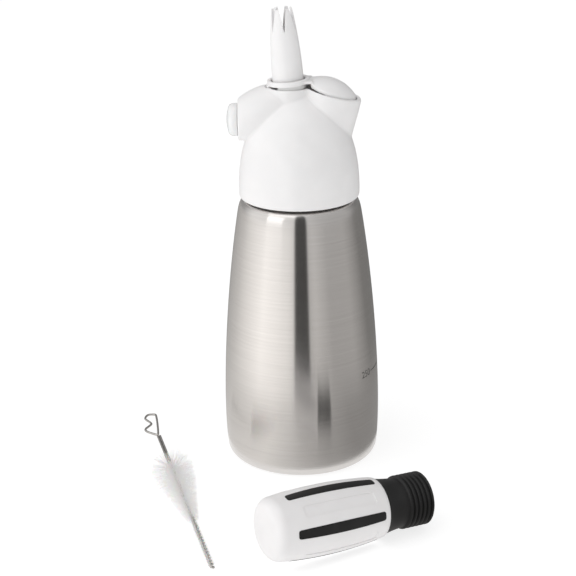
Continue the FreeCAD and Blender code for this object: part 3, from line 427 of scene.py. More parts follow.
class Bench:
    """Modelling by hand: selection, edit-mode work and finishing of one piece."""

    @staticmethod
    def clear() -> None:
        """Deselect everything."""
        for item in bpy.context.view_layer.objects:
            item.select_set(False)

    @staticmethod
    def hold(piece: Piece) -> None:
        """Select one piece alone and make it active."""
        Bench.clear()
        piece.select_set(True)
        bpy.context.view_layer.objects.active = piece

    @staticmethod
    def edit(piece: Piece, work: Callable[[], None]) -> None:
        """Run work in edit mode with the whole mesh selected.

        Args:
            piece: The piece to edit.
            work: The operators to call.
        """
        Bench.hold(piece)
        bpy.ops.object.mode_set(mode="EDIT")
        bpy.ops.mesh.select_all(action="SELECT")
        work()
        bpy.ops.object.mode_set(mode="OBJECT")

    @staticmethod
    def modify(piece: Piece, kind: str, **settings: object) -> None:
        """Add a modifier and apply it.

        Args:
            piece: The piece.
            kind: The modifier's type.
            **settings: The modifier's settings.
        """
        Bench.hold(piece)
        made = piece.modifiers.new(kind.lower(), kind)
        for key, value in settings.items():
            setattr(made, key, value)
        bpy.ops.object.modifier_apply(modifier=made.name)

    @staticmethod
    def smooth(piece: Piece, degrees: float = 35.0) -> None:
        """Smooth shading below an angle."""
        Bench.hold(piece)
        bpy.ops.object.shade_smooth_by_angle(angle=math.radians(degrees))

    @staticmethod
    def raise_mesh(name: str, corners: Sequence, edges: Sequence = (), faces: Sequence = ()) -> Piece:
        """Start a piece from corners in metres with edges or faces between them."""
        mesh = bpy.data.meshes.new(name)
        mesh.from_pydata(corners, edges, faces)
        return Bench.show(name, mesh)

    @staticmethod
    def show(name: str, data: bpy.types.ID) -> Piece:
        """Put new data into the scene as an object."""
        piece = bpy.data.objects.new(name, data)
        bpy.context.scene.collection.objects.link(piece)
        return piece

    @staticmethod
    def spin(name: str, outline: Sequence[Point], steps: int) -> Piece:
        """Spin a closed outline of (radius, height) points in millimetres about Z.

        Args:
            name: The piece's name.
            outline: The outline's points.
            steps: Steps of the full turn.

        Returns:
            The turned piece, closed and facing outwards.
        """
        corners = [(r * MM, 0.0, z * MM) for r, z in outline]
        edges = [(i, i + 1) for i in range(len(corners) - 1)] + [(len(corners) - 1, 0)]
        piece = Bench.raise_mesh(name, corners, edges)

        def turn() -> None:
            """Spin, close the seam and face outwards."""
            bpy.ops.mesh.spin(steps=steps, angle=FULL_TURN, center=(0, 0, 0), axis=(0, 0, 1))
            bpy.ops.mesh.select_all(action="SELECT")
            bpy.ops.mesh.remove_doubles(threshold=SEAM_MERGE)
            bpy.ops.mesh.normals_make_consistent(inside=False)

        Bench.edit(piece, turn)
        return piece

    @staticmethod
    def copy_node(name: str, node: str) -> Piece:
        """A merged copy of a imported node's mesh as a new piece."""
        piece = Bench.show(name, frame["nodes"][node].data.copy())
        Bench.edit(piece, lambda: bpy.ops.mesh.remove_doubles(threshold=2 * SEAM_MERGE))
        return piece

    @staticmethod
    def join(name: str, parts: Sequence[Piece]) -> Piece:
        """Join several objects into one piece."""
        Bench.clear()
        for part in parts:
            part.select_set(True)
        bpy.context.view_layer.objects.active = parts[0]
        bpy.ops.object.join()
        parts[0].name = name
        return parts[0]

    @staticmethod
    def ease(piece: Piece, width: float, degrees: float) -> None:
        """Bevel the edges sharper than an angle by a width in millimetres."""
        Bench.modify(piece, "BEVEL", width=width * MM, segments=2, limit_method="ANGLE",
                     angle_limit=math.radians(degrees))

    @staticmethod
    def wedge(name: str, ring: Sequence[tuple], reach: float, degrees: float) -> Piece:
        """A flat ring of corners in metres, drawn out along X by a reach and turned about Z."""
        block = Bench.raise_mesh(name, ring, (), [tuple(range(len(ring)))])
        shift = {"value": (reach, 0, 0)}
        Bench.edit(block, lambda: bpy.ops.mesh.extrude_region_move(TRANSFORM_OT_translate=shift))
        block.data.transform(Matrix.Rotation(math.radians(degrees), 4, "Z"))
        Bench.edit(block, lambda: bpy.ops.mesh.normals_make_consistent(inside=False))
        return block

    @staticmethod
    def cut(piece: Piece, tool: Piece, operation: str = "DIFFERENCE") -> None:
        """Cut a piece with a tool, which is then thrown away."""
        Bench.modify(piece, "BOOLEAN", object=tool, operation=operation, solver="EXACT")
        bpy.data.objects.remove(tool)


def bezier(poles: Sequence[Point], count: int) -> list[Point]:
    """Points along a cubic through four poles.

    Args:
        poles: The four poles.
        count: How many spans.

    Returns:
        The points, ends included.
    """
    points = []
    for step in range(count + 1):
        t = step / count
        weights = ((1 - t) ** 3, 3 * t * (1 - t) ** 2, 3 * t * t * (1 - t), t ** 3)
        points.append(tuple(sum(w * pole[axis] for w, pole in zip(weights, poles)) for axis in (0, 1)))
    return points


def arc(centre: Point, radius: float, first: float, last: float, count: int) -> list[Point]:
    """Points along an arc, its angles in degrees from the outward radius."""
    points = []
    for step in range(count + 1):
        angle = math.radians(first + (last - first) * step / count)
        points.append((centre[0] + radius * math.cos(angle), centre[1] + radius * math.sin(angle)))
    return points


def bow(start: Point, middle: Point, end: Point, count: int) -> list[Point]:
    """Points along the parabola through three points."""
    points = []
    for step in range(count + 1):
        t = step / count
        weights = (2 * (t - 0.5) * (t - 1), -4 * t * (t - 1), 2 * t * (t - 0.5))
        trio = (start, middle, end)
        points.append(tuple(sum(w * p[axis] for w, p in zip(weights, trio)) for axis in (0, 1)))
    return points


def finish_piece(piece: Piece, body: Body, slot: str, finishes: Finishes, node: str = "",
                 degrees: Optional[float] = None) -> None:
    """Dress a piece, make it ride on its body and stand for its node.

    Args:
        piece: The piece.
        body: The body it moves with.
        slot: Its material slot.
        finishes: The finishes.
        node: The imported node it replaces, if any.
        degrees: The angle below which it is shaded smooth, if any.
    """
    if degrees is not None:
        Bench.smooth(piece, degrees)
    finishes.dress(piece, slot)
    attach(piece, body.value)
    slot in {entry["slot"] for entry in frame["record"]["materials"]}
    if node:
        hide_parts(node)
    LOG.info("%s: %d faces on %s", piece.name, len(piece.data.polygons), body.value)


@dataclass
class SteelBottle:
    """The drawn steel bottle with its neck and printed fill mark. Sizes in millimetres."""

    foot_radius: float = 39.7
    foot_round: float = 5.4
    belly_pole: Point = (42.0, 34.0)
    shoulder_radius: float = 31.7
    shoulder_height: float = 131.0
    shoulder_lean: float = 0.16
    shoulder_reach: float = 42.0
    shoulder_round: float = 9.6
    wall: float = 1.0
    neck_radius: float = 21.2
    neck_wall: float = 1.6
    neck_height: float = 15.4
    neck_shelf: float = 5.0
    thread_depth: float = 0.8
    thread_pitch: float = 3.2
    thread_turns: int = 3
    thread_low: float = 1.5
    mark_height: float = 50.6
    mark_number: str = "250"
    number_angle: float = 56.0
    line_angles: Point = (63.0, 88.0)
    line_width: float = 0.55
    number_size: float = 5.2
    mark_proud: float = 0.03
    number_depth: float = 0.01
    line_depth: float = 0.02
    thread_profile: tuple = (-1.0, -0.6, -0.2, 0.2, 0.6, 1.0)
    thread_fullness: float = 0.6
    thread_spread: float = 0.25
    lip_round: float = 0.4
    neck_fillet: float = 0.6

    @property
    def neck_foot(self) -> float:
        """Height of the neck's foot."""
        return self.shoulder_height + self.shoulder_round

    @property
    def lip(self) -> float:
        """Height of the neck's lip."""
        return self.neck_foot + self.neck_height

    def flank(self, inset: float) -> list[Point]:
        """The flank from foot to shoulder, moved in by an inset."""
        chest = (self.shoulder_radius + self.shoulder_lean * self.shoulder_reach - inset,
                 self.shoulder_height - self.shoulder_reach)
        belly = (self.belly_pole[0] - inset, self.belly_pole[1])
        return bezier([(self.foot_radius - inset, self.foot_round), belly, chest,
                       (self.shoulder_radius - inset, self.shoulder_height)], 48)

    def shoulder(self, inset: float) -> list[Point]:
        """The rounded shoulder in to the neck's shelf."""
        start = self.shoulder_radius - inset
        rise = 0.5 * self.shoulder_round
        top = self.neck_foot - 1.0 - inset
        lean = self.shoulder_lean * rise
        return bezier([(start, self.shoulder_height), (start - lean, self.shoulder_height + rise),
                       (start - 2 * lean, top), (self.neck_radius + self.neck_shelf - inset, top)], 14)[1:]

    def thread(self) -> list[Point]:
        """The rolled thread crests up the neck."""
        low = self.lip - self.thread_low - self.thread_turns * self.thread_pitch
        points = []
        for turn in range(self.thread_turns):
            middle = low + (turn + 0.5) * self.thread_pitch
            for share in self.thread_profile:
                crown = math.cos(0.5 * math.pi * share) if abs(share) < 1 else 0.0
                swell = self.thread_depth * crown ** self.thread_fullness
                offset = self.thread_spread * self.thread_pitch * share
                points.append((self.neck_radius + swell, middle + offset))
        return points

    def shell(self) -> Piece:
        """The bottle, inside and outside."""
        base, lip, fillet, ease = self.neck_foot, self.lip, self.foot_round, self.lip_round
        corner = (self.foot_radius - fillet, fillet)
        outside = [(0.0, 0.0)] + arc(corner, fillet, -90, 0, 12)[:-1]
        outside += self.flank(0.0) + self.shoulder(0.0)
        outside += [(self.neck_radius + self.neck_fillet, base - self.neck_fillet), (self.neck_radius, base)]
        outside += self.thread() + [(self.neck_radius, lip - ease), (self.neck_radius - ease, lip)]
        inner = self.neck_radius - self.neck_wall
        inside = [(0.0, self.wall)] + arc(corner, fillet - self.wall, -90, 0, 8)[:-1]
        inside += self.flank(self.wall) + self.shoulder(self.wall)
        inside += [(inner, base), (inner, lip - ease), (inner + ease, lip)]
        return Bench.spin("bottle_shell", outside + inside[::-1], 192)

    def surface_radius(self, height: float) -> float:
        """The flank's radius at a height."""
        points = self.flank(0.0)
        for low, high in zip(points, points[1:]):
            if low[1] <= height <= high[1]:
                share = (height - low[1]) / (high[1] - low[1])
                return low[0] + share * (high[0] - low[0])
        return self.foot_radius

    def wrap(self, piece: Piece, centre_angle: float) -> None:
        """Roll a flat piece, drawn on X and Y, round the bottle at the fill mark."""
        for vertex in piece.data.vertices:
            height = self.mark_height + vertex.co.y / MM
            radius = self.surface_radius(height) + self.mark_proud + vertex.co.z / MM
            angle = math.radians(centre_angle) + vertex.co.x / MM / radius
            vertex.co = Vector((radius * math.sin(angle), -radius * math.cos(angle), height)) * MM

    def fill_mark(self) -> list[Piece]:
        """The printed line and plain number that show the filling height."""
        Bench.clear()
        bpy.ops.object.text_add(location=(0, 0, 0))
        number = bpy.context.object
        number.name = "fill_number"
        number.data.body = self.mark_number
        number.data.size = self.number_size * MM
        number.data.align_x = "CENTER"
        number.data.align_y = "CENTER"
        number.data.extrude = self.number_depth * MM
        Bench.hold(number)
        bpy.ops.object.convert(target="MESH")
        number = bpy.context.object
        self.wrap(number, self.number_angle)
        first, last = self.line_angles
        radius = self.surface_radius(self.mark_height)
        length = math.radians(last - first) * radius
        Bench.clear()
        bpy.ops.mesh.primitive_grid_add(x_subdivisions=40, y_subdivisions=1, size=1.0)
        line = bpy.context.object
        line.name = "fill_line"
        for vertex in line.data.vertices:
            vertex.co.x *= length * MM
            vertex.co.y *= self.line_width * MM
        Bench.modify(line, "SOLIDIFY", thickness=self.line_depth * MM, offset=0.0)
        self.wrap(line, 0.5 * (first + last))
        return [number, line]

    def build(self, finishes: Finishes) -> None:
        """Make the bottle and its mark."""
        shell = self.shell()
        finish_piece(shell, Body.BOTTLE, "bottle_steel", finishes, "bottle", 40.0)
        for piece in self.fill_mark():
            finish_piece(piece, Body.BOTTLE, "fill_mark_ink", finishes)


@dataclass
class Moulding:
    """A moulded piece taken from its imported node, with its creases blended and edges eased."""

    name: str
    node: str
    body: Body
    slot: str
    voxel: float = 0.5
    rounds: int = 6
    strength: float = 0.5

    def build(self, finishes: Finishes) -> None:
        """Make the moulding."""
        piece = Bench.copy_node(self.name, self.node)
        Bench.modify(piece, "REMESH", mode="VOXEL", voxel_size=self.voxel * MM, use_smooth_shade=True)
        Bench.modify(piece, "SMOOTH", factor=self.strength, iterations=self.rounds)
        finish_piece(piece, self.body, self.slot, finishes, self.node, 60.0)


@dataclass
class NozzleTip:
    """The tapered tip with its star of teeth, leaning with the valve. Sizes in millimetres."""

    valve_x: float = -4.7
    lever_height: float = 197.6
    lean: float = 4.3
    seat_gap: float = 0.1
    base_radius: float = 7.7
    middle_radius: float = 7.1
    top_radius: float = 5.0
    length: float = 37.4
    wall: float = 1.2
    socket_radius: float = 4.06
    socket_depth: float = 7.2
    notches: int = 6
    notch_depth: float = 10.6
    notch_half_width: float = 1.9
    notch_phase: float = -86.0
    base_round: float = 0.5
    mouth_round: float = 0.3
    notch_root: float = 0.22
    notch_power: float = 1.35
    notch_over: float = 0.6
    edge_round: float = 0.16

    @property
    def base(self) -> float:
        """Height of the tip's foot, before it leans."""
        return self.lever_height - self.seat_gap

    @property
    def top(self) -> float:
        """Height of the teeth's points, before they lean."""
        return self.base + self.length

    def outline(self) -> list[Point]:
        """Closed outline of the tip's wall."""
        base, top, wall = self.base, self.top, self.wall
        middle = base + 0.5 * self.length
        outside = bow((self.base_radius, base + self.base_round), (self.middle_radius, middle),
                      (self.top_radius, top - 0.2), 24)
        inside = bow((self.base_radius - wall - 0.6, base + self.socket_depth + 2.0),
                     (self.middle_radius - wall, middle + 2.0), (self.top_radius - wall, top), 24)
        foot = [(self.socket_radius, base + self.socket_depth), (self.socket_radius, base + 0.1),
                (self.socket_radius + 0.1, base), (self.base_radius - self.base_round, base)]
        return outside + [(self.top_radius - self.mouth_round, top)] + inside[::-1] + foot

    def notch(self, number: int) -> Piece:
        """A curved wedge that cuts one notch between two teeth."""
        root = self.top - self.notch_depth
        profile = []
        for step in range(9):
            share = step / 8
            half = self.notch_root + (self.notch_half_width - self.notch_root) * share ** self.notch_power
            profile.append((half, root + share * (self.notch_depth + self.notch_over)))
        corners = [(-h, z) for h, z in profile[::-1]] + [(0.0, root - 0.3)] + profile
        ring = [(0.5 * MM, h * MM, z * MM) for h, z in corners]
        turn = self.notch_phase + 360.0 * number / self.notches
        return Bench.wedge("notch", ring, 2 * self.base_radius * MM, turn)

    def place(self) -> Matrix:
        """The move from the upright axis to the leaning valve axis."""
        pivot = Vector((self.valve_x, 0, self.lever_height)) * MM
        shift = Matrix.Translation((self.valve_x * MM, 0, 0))
        lean = Matrix.Rotation(math.radians(-self.lean), 4, "Y")
        return Matrix.Translation(pivot) @ lean @ Matrix.Translation(-pivot) @ shift

    def build(self, finishes: Finishes) -> None:
        """Make the tip."""
        tip = Bench.spin("star_tip", self.outline(), 144)
        for number in range(self.notches):
            Bench.cut(tip, self.notch(number))
        Bench.ease(tip, self.edge_round, 50)
        tip.data.transform(self.place())
        finish_piece(tip, Body.TIP, "head_white", finishes, "decorator_tip", 45.0)


@dataclass
class PortCap:
    """The domed cover over the charging port. Sizes in millimetres."""

    face_x: float = -30.0
    height: float = 179.7
    radius: float = 8.2
    proud: float = 5.8
    edge_round: float = 2.6
    flat_drop: float = 0.9
    gap: float = 0.12
    bore_radius: float = 6.46
    bore_depth: float = 4.5
    foot_round: float = 0.3
    edge_sweep: float = 82.0
    crown_steps: int = 14

    def build(self, finishes: Finishes) -> None:
        """Make the cap."""
        rise = self.proud - self.flat_drop
        flat = self.radius - self.edge_round
        outline = [(0.0, self.bore_depth), (self.bore_radius, self.bore_depth), (self.bore_radius, self.gap)]
        outline += [(self.radius - self.foot_round, self.gap), (self.radius, self.gap + self.foot_round)]
        outline += arc((flat, rise - self.edge_round), self.edge_round, 0, self.edge_sweep, 12)
        crown_radius = (flat ** 2 + self.flat_drop ** 2) / (2 * self.flat_drop)
        for step in range(1, self.crown_steps + 1):
            radius = flat * (1 - step / self.crown_steps)
            outline.append((radius, self.proud - crown_radius + math.sqrt(crown_radius ** 2 - radius ** 2)))
        cap = Bench.spin("port_cap", outline, 96)
        turn = Matrix.Rotation(math.radians(-90), 4, "Y")
        cap.data.transform(Matrix.Translation((self.face_x * MM, 0, self.height * MM)) @ turn)
        finish_piece(cap, Body.CAP, "cap_white", finishes, "protective_cap", 50.0)


@dataclass
class ChargerHolder:
    """The barrel and ribbed sleeve of the lying charger holder. Sizes in millimetres."""

    mouth: Point = (55.9, -86.4)
    turn: float = 28.6
    length: float = 85.0
    rib_radius: float = 12.9
    rib_depth: float = 1.0
    rib_count: int = 6
    rib_pitch: float = 2.4
    neck_radius: float = 12.9
    split: float = 26.0
    split_radius: float = 14.4
    belly: float = 57.0
    belly_radius: float = 16.6
    end_radius: float = 15.2
    end_round: float = 5.0
    bore: float = 9.4
    spigot_length: float = 9.0
    spigot_radius: float = 12.2
    end_wall: float = 3.0
    liner_length: float = 12.0
    liner_radius: float = 8.8
    inlays: int = 5
    inlay_start: float = 29.0
    inlay_length: float = 47.0
    inlay_width: float = 5.2
    inlay_bulge: float = 1.0
    inlay_depth: float = 1.3
    inlay_phase: float = 137.5
    corner_round: float = 1.1
    panel_start: float = 33.0
    panel_length: float = 38.0
    panel_width: float = 5.6
    panel_groove: float = 0.3
    strip_inner: float = 6.0
    strip_reach: float = 14.0
    strip_rows: int = 40
    strip_proud: float = 0.1
    slot_edge: float = 0.12
    strip_edge: float = 0.18
    seam: float = 0.06

    @property
    def end_arc(self) -> tuple[Point, float]:
        """Centre of the closed end's round, and the height where the round starts."""
        last = self.length - self.end_round
        return (self.end_radius - self.end_round, last), last

    def place(self) -> Matrix:
        """The move from the upright Z axis to where the holder lies."""
        slope = math.asin((self.belly_radius - self.rib_radius) / (self.belly - self.rib_pitch))
        low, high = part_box("holder_liner")
        centre = 0.5 * (low + high)
        tilt = Matrix.Rotation(slope - math.radians(90), 4, "Y")
        turn = Matrix.Rotation(math.radians(self.turn), 4, "Z")
        middle = turn @ tilt @ Vector((0, 0, 0.5 * self.liner_length * MM))
        spot = Vector((self.mouth[0] * MM, self.mouth[1] * MM, centre.z - middle.z))
        return Matrix.Translation(spot) @ turn @ tilt

    def flank(self, inset: float) -> list[Point]:
        """The barrel's bulging side, moved in by an inset."""
        _, last = self.end_arc
        radii = (self.split_radius, self.belly_radius, self.end_radius)
        points = []
        for step in range(33):
            height = self.split + (last - self.split) * step / 32
            weights = self._through(height, (self.split, self.belly, last))
            points.append((sum(w * r for w, r in zip(weights, radii)) - inset, height))
        return points

    @staticmethod
    def _through(height: float, places: Sequence[float]) -> list[float]:
        """Weights of the parabola through three heights."""
        weights = []
        for own in places:
            weight = 1.0
            for other in places:
                if other != own:
                    weight *= (height - other) / (own - other)
            weights.append(weight)
        return weights

    def outer_solid(self, name: str, inset: float) -> Piece:
        """The barrel's full outer form."""
        corner, _ = self.end_arc
        outline = [(0.0, self.split)] + self.flank(inset)
        outline += arc(corner, self.end_round - inset, 0, 90, 12)[1:]
        return Bench.spin(name, outline + [(0.0, self.length - inset)], 144)

    def strip(self, number: int, width: float, start: float, length: float, bulge: float) -> Piece:
        """A long block with bowed sides and eased corners, standing out from the axis."""
        rows, ease = self.strip_rows, self.corner_round
        sides = []
        for step in range(rows + 1):
            share = 0.5 - 0.5 * math.cos(math.pi * step / rows)
            half = 0.5 * width - bulge * (2 * share - 1) ** 2 * 0.5
            over = max(0.0, abs(share - 0.5) * length - 0.5 * length + ease)
            half -= ease - math.sqrt(max(0.0, ease ** 2 - over ** 2))
            sides.append((half, start + length * share))
        ring = sides + [(-half, z) for half, z in sides[::-1]]
        corners = [(self.strip_inner * MM, y * MM, z * MM) for y, z in ring]
        turn = self.inlay_phase + 360.0 * number / self.inlays
        return Bench.wedge("strip", corners, self.strip_reach * MM, turn)

    def barrel(self) -> Piece:
        """The white barrel with its bore, slots and shallow panels."""
        corner, _ = self.end_arc
        socket = self.spigot_radius + self.seam
        outline = [(socket, self.split), (self.split_radius - 0.4, self.split)]
        outline += [(self.split_radius - 0.05, self.split + 0.3)] + self.flank(0.0)[1:]
        outline += arc(corner, self.end_round, 0, 90, 14)[1:] + [(0.0, self.length)]
        floor = self.length - self.end_wall
        shelf = self.split + self.spigot_length + self.seam
        outline += [(0.0, floor), (self.bore, floor), (self.bore, shelf), (socket, shelf)]
        barrel = Bench.spin("barrel_shell", outline, 160)
        for number in range(self.inlays):
            slot = self.strip(number, self.inlay_width, self.inlay_start, self.inlay_length,
                              self.inlay_bulge)
            Bench.cut(slot, self.outer_solid("slot_floor", self.inlay_depth))
            Bench.cut(barrel, slot)
        for number in range(self.inlays):
            panel = self.strip(number, self.panel_width, self.panel_start, self.panel_length, 0.0)
            panel.data.transform(Matrix.Rotation(math.pi / self.inlays, 4, "Z"))
            Bench.cut(panel, self.outer_solid("panel_floor", self.panel_groove))
            Bench.cut(barrel, panel)
        Bench.ease(barrel, self.slot_edge, 40)
        return barrel

    def grip_strips(self) -> Piece:
        """The black strips in the barrel's slots, slightly crowned."""
        strips = []
        for number in range(self.inlays):
            strip = self.strip(number, self.inlay_width - 2 * self.seam, self.inlay_start + self.seam,
                               self.inlay_length - 2 * self.seam, self.inlay_bulge)
            Bench.cut(strip, self.outer_solid("strip_top", -self.strip_proud), "INTERSECT")
            Bench.cut(strip, self.outer_solid("strip_floor", self.inlay_depth))
            strips.append(strip)
        joined = Bench.join("grip_strips", strips)
        Bench.ease(joined, self.strip_edge, 40)
        return joined

    def sleeve(self) -> Piece:
        """The black sleeve with its ribs, flaring neck and spigot."""
        root = self.rib_radius - self.rib_depth
        outline = [(self.liner_radius, self.liner_length), (self.liner_radius, 0.2),
                   (self.liner_radius + 0.2, 0.0), (root - 0.3, 0.0), (root, 0.15)]
        for number in range(self.rib_count):
            foot = number * self.rib_pitch
            crest = foot + 0.22 * self.rib_pitch
            end = foot + 0.62 * self.rib_pitch
            outline += [(self.rib_radius - 0.25, crest), (self.rib_radius, crest + 0.2),
                        (self.rib_radius, end - 0.2), (self.rib_radius - 0.25, end),
                        (root, foot + 0.8 * self.rib_pitch), (root, foot + self.rib_pitch)]
        ribs_end = self.rib_count * self.rib_pitch
        middle = (self.neck_radius, 0.5 * (ribs_end + self.split) + 2.0)
        outline += bow(outline[-1], middle, (self.split_radius - 0.3, self.split), 16)[1:]
        spigot = self.split + self.spigot_length
        outline += [(self.spigot_radius, self.split), (self.spigot_radius, spigot), (self.bore, spigot),
                    (self.bore, self.liner_length)]
        return Bench.spin("ribbed_sleeve", outline, 144)

    def build(self, finishes: Finishes) -> None:
        """Make the holder's outer pieces."""
        place = self.place()
        jobs = ((self.barrel(), Body.BARREL, "holder_white", "holder_barrel"),
                (self.grip_strips(), Body.BARREL, "holder_black", "holder_inlays"),
                (self.sleeve(), Body.SLEEVE, "holder_black", "holder_sleeve"))
        for piece, body, slot, node in jobs:
            piece.data.transform(place)
            finish_piece(piece, body, slot, finishes, node, 38.0)


@dataclass
class CleaningBrush:
    """The wire brush with its loop, twisted tail and nylon bristles. Sizes in millimetres."""

    tail: tuple = (-43.2, -128.5, 1.5)
    neck: tuple = (-76.5, -4.5, 8.5)
    wire: float = 0.6
    loop: tuple = ((0.6, 0.0), (7.0, 5.3), (10.2, 5.9), (15.8, 0.5), (23.3, 3.6), (28.2, 1.0),
                   (27.2, -3.8))
    loop_bend: float = 1.1
    twist_pitch: float = 5.2
    wire_touch: float = 0.98
    points_per_mm: float = 1.6
    cone_start: float = 43.0
    cone_end: float = 96.0
    small: float = 3.4
    large: float = 12.0
    flare: float = 7.0
    fur: float = 1.9
    bristles: int = 1700
    fur_bristles: int = 700
    bristle_width: float = 0.10
    fur_start: float = 2.5
    spans: int = 4
    spread: float = 0.35
    seed: int = 7

    def axis(self) -> tuple[Vector, Vector, float]:
        """Tail point, heading and length of the straight wire, in millimetres."""
        tail = Vector(self.tail)
        run = Vector(self.neck) - tail
        return tail, run.normalized(), run.length

    def across(self) -> tuple[Vector, Vector]:
        """Two directions square to the wire; the first lies flat."""
        _, heading, _ = self.axis()
        flat = Vector((-heading.y, heading.x, 0)).normalized()
        return flat, heading.cross(flat)

    def strand(self, name: str, points: Sequence[Vector], cyclic: bool = False) -> Piece:
        """A wire along smooth points, as a mesh.

        Args:
            name: The piece's name.
            points: Points in millimetres.
            cyclic: Whether the wire closes on itself.

        Returns:
            The wire.
        """
        data = bpy.data.curves.new(name, "CURVE")
        data.dimensions = "3D"
        data.bevel_depth = self.wire * MM
        data.bevel_resolution = 4
        data.resolution_u = 6
        data.use_fill_caps = True
        line = data.splines.new("NURBS")
        line.points.add(len(points) - 1)
        for target, point in zip(line.points, points):
            target.co = (*(point * MM), 1.0)
        line.use_cyclic_u = cyclic
        line.use_endpoint_u = not cyclic
        line.order_u = 3
        Bench.hold(Bench.show(name, data))
        bpy.ops.object.convert(target="MESH")
        return bpy.context.object

    def twisted_wires(self) -> Piece:
        """Two wires, twisted under the bristles and tail, and side by side up to the loop."""
        tail, heading, length = self.axis()
        flat, high = self.across()
        wires = []
        for side in (0.0, math.pi):
            points = []
            steps = int(self.cone_end * self.points_per_mm)
            for step in range(steps + 1):
                along = self.cone_end * step / steps
                angle = side + FULL_TURN * along / self.twist_pitch
                ring = flat * math.cos(angle) + high * math.sin(angle)
                points.append(tail + heading * along + ring * self.wire * self.wire_touch)
            end_ring = flat if side == 0.0 else -flat
            for share in (0.1, 0.4, 0.7, 1.0):
                along = self.cone_end + (length - self.cone_end) * share
                points.append(tail + heading * along + end_ring * self.wire * self.wire_touch)
            wires.append(self.strand("wire_strand", points))
        return Bench.join("twisted_wire", wires)

    def hanging_loop(self) -> Piece:
        """The bent loop with its inward notch."""
        _, heading, _ = self.axis()
        ahead = Vector((heading.x, heading.y, 0)).normalized()
        aside = Vector((-ahead.y, ahead.x, 0))
        neck = Vector(self.neck)
        corners = [neck + ahead * a + aside * b for a, b in self.loop]
        points = []
        for start, end in zip(corners, corners[1:] + corners[:1]):
            run = end - start
            lead = min(0.32, self.loop_bend / run.length)
            points += [start + run * lead, start + run * (1 - lead)]
        return self.strand("hanging_loop", points, True)

    def reach(self, along: float) -> float:
        """Length of the bristles at a place on the wire."""
        if along < self.cone_start:
            return self.fur
        knee = self.cone_end - self.flare
        if along < knee:
            share = (along - self.cone_start) / (knee - self.cone_start)
            return self.small + (self.large - self.small) * share
        return self.large - 0.6 * (along - knee) / self.flare

    def bristle_cloud(self, name: str, first: float, last: float, count: int, shrink: float) -> Piece:
        """Many thin curved bristles about the wire, kept above the table.

        Args:
            name: The piece's name.
            first: Where they start along the wire.
            last: Where they end.
            count: How many bristles.
            shrink: Share of the reach that they fill.

        Returns:
            All the bristles in one mesh.
        """
        draw = random.Random(self.seed)
        tail, heading, _ = self.axis()
        flat, high = self.across()
        corners: list[Vector] = []
        faces: list[tuple] = []
        spans = self.spans
        for number in range(count):
            place = first + (last - first) * (number + draw.random()) / count
            angle = number * GOLDEN_ANGLE + draw.uniform(-0.2, 0.2)
            out = flat * math.cos(angle) + high * math.sin(angle)
            reach = self.reach(place) * shrink * draw.uniform(0.86, 1.0)
            lean = draw.uniform(-0.10, 0.10)
            curl = draw.uniform(-0.08, 0.08)
            side = heading.cross(out)
            start = tail + heading * place
            base = len(corners)
            for step in range(spans + 1):
                share = step / spans
                spot = start + (out + heading * lean) * reach * share + side * reach * curl * share ** 2
                floor = self.bristle_width + 0.15 * draw.random()
                if spot.z < floor:
                    spread = self.spread * (floor - spot.z)
                    spot = spot + flat * (spread if out.dot(flat) > 0 else -spread)
                    spot.z = floor
                half = self.bristle_width * (1 - 0.45 * share)
                for turn in range(3):
                    way = FULL_TURN * turn / 3
                    corners.append((spot + (side * math.cos(way) + heading * math.sin(way)) * half) * MM)
            for step in range(spans):
                low = base + 3 * step
                for turn in range(3):
                    after = (turn + 1) % 3
                    faces.append((low + turn, low + after, low + 3 + after, low + 3 + turn))
            faces.append((base + 2, base + 1, base))
            end = base + 3 * spans
            faces.append((end, end + 1, end + 2))
        return Bench.raise_mesh(name, corners, (), faces)

    def build(self, finishes: Finishes) -> None:
        """Make the brush."""
        wires = self.twisted_wires()
        finish_piece(wires, Body.BRUSH, "wire_steel", finishes, "brush_stem", 60.0)
        loop = self.hanging_loop()
        finish_piece(loop, Body.BRUSH, "wire_steel", finishes, "brush_loop", 60.0)
        head = self.bristle_cloud("bristle_head", self.cone_start, self.cone_end, self.bristles, 0.98)
        finish_piece(head, Body.BRUSH, "bristle_nylon", finishes, "brush_bristles")
        fur = self.bristle_cloud("tail_fur", self.fur_start, self.cone_start, self.fur_bristles, 0.95)
        finish_piece(fur, Body.BRUSH, "bristle_nylon", finishes, "brush_tail_bristles")


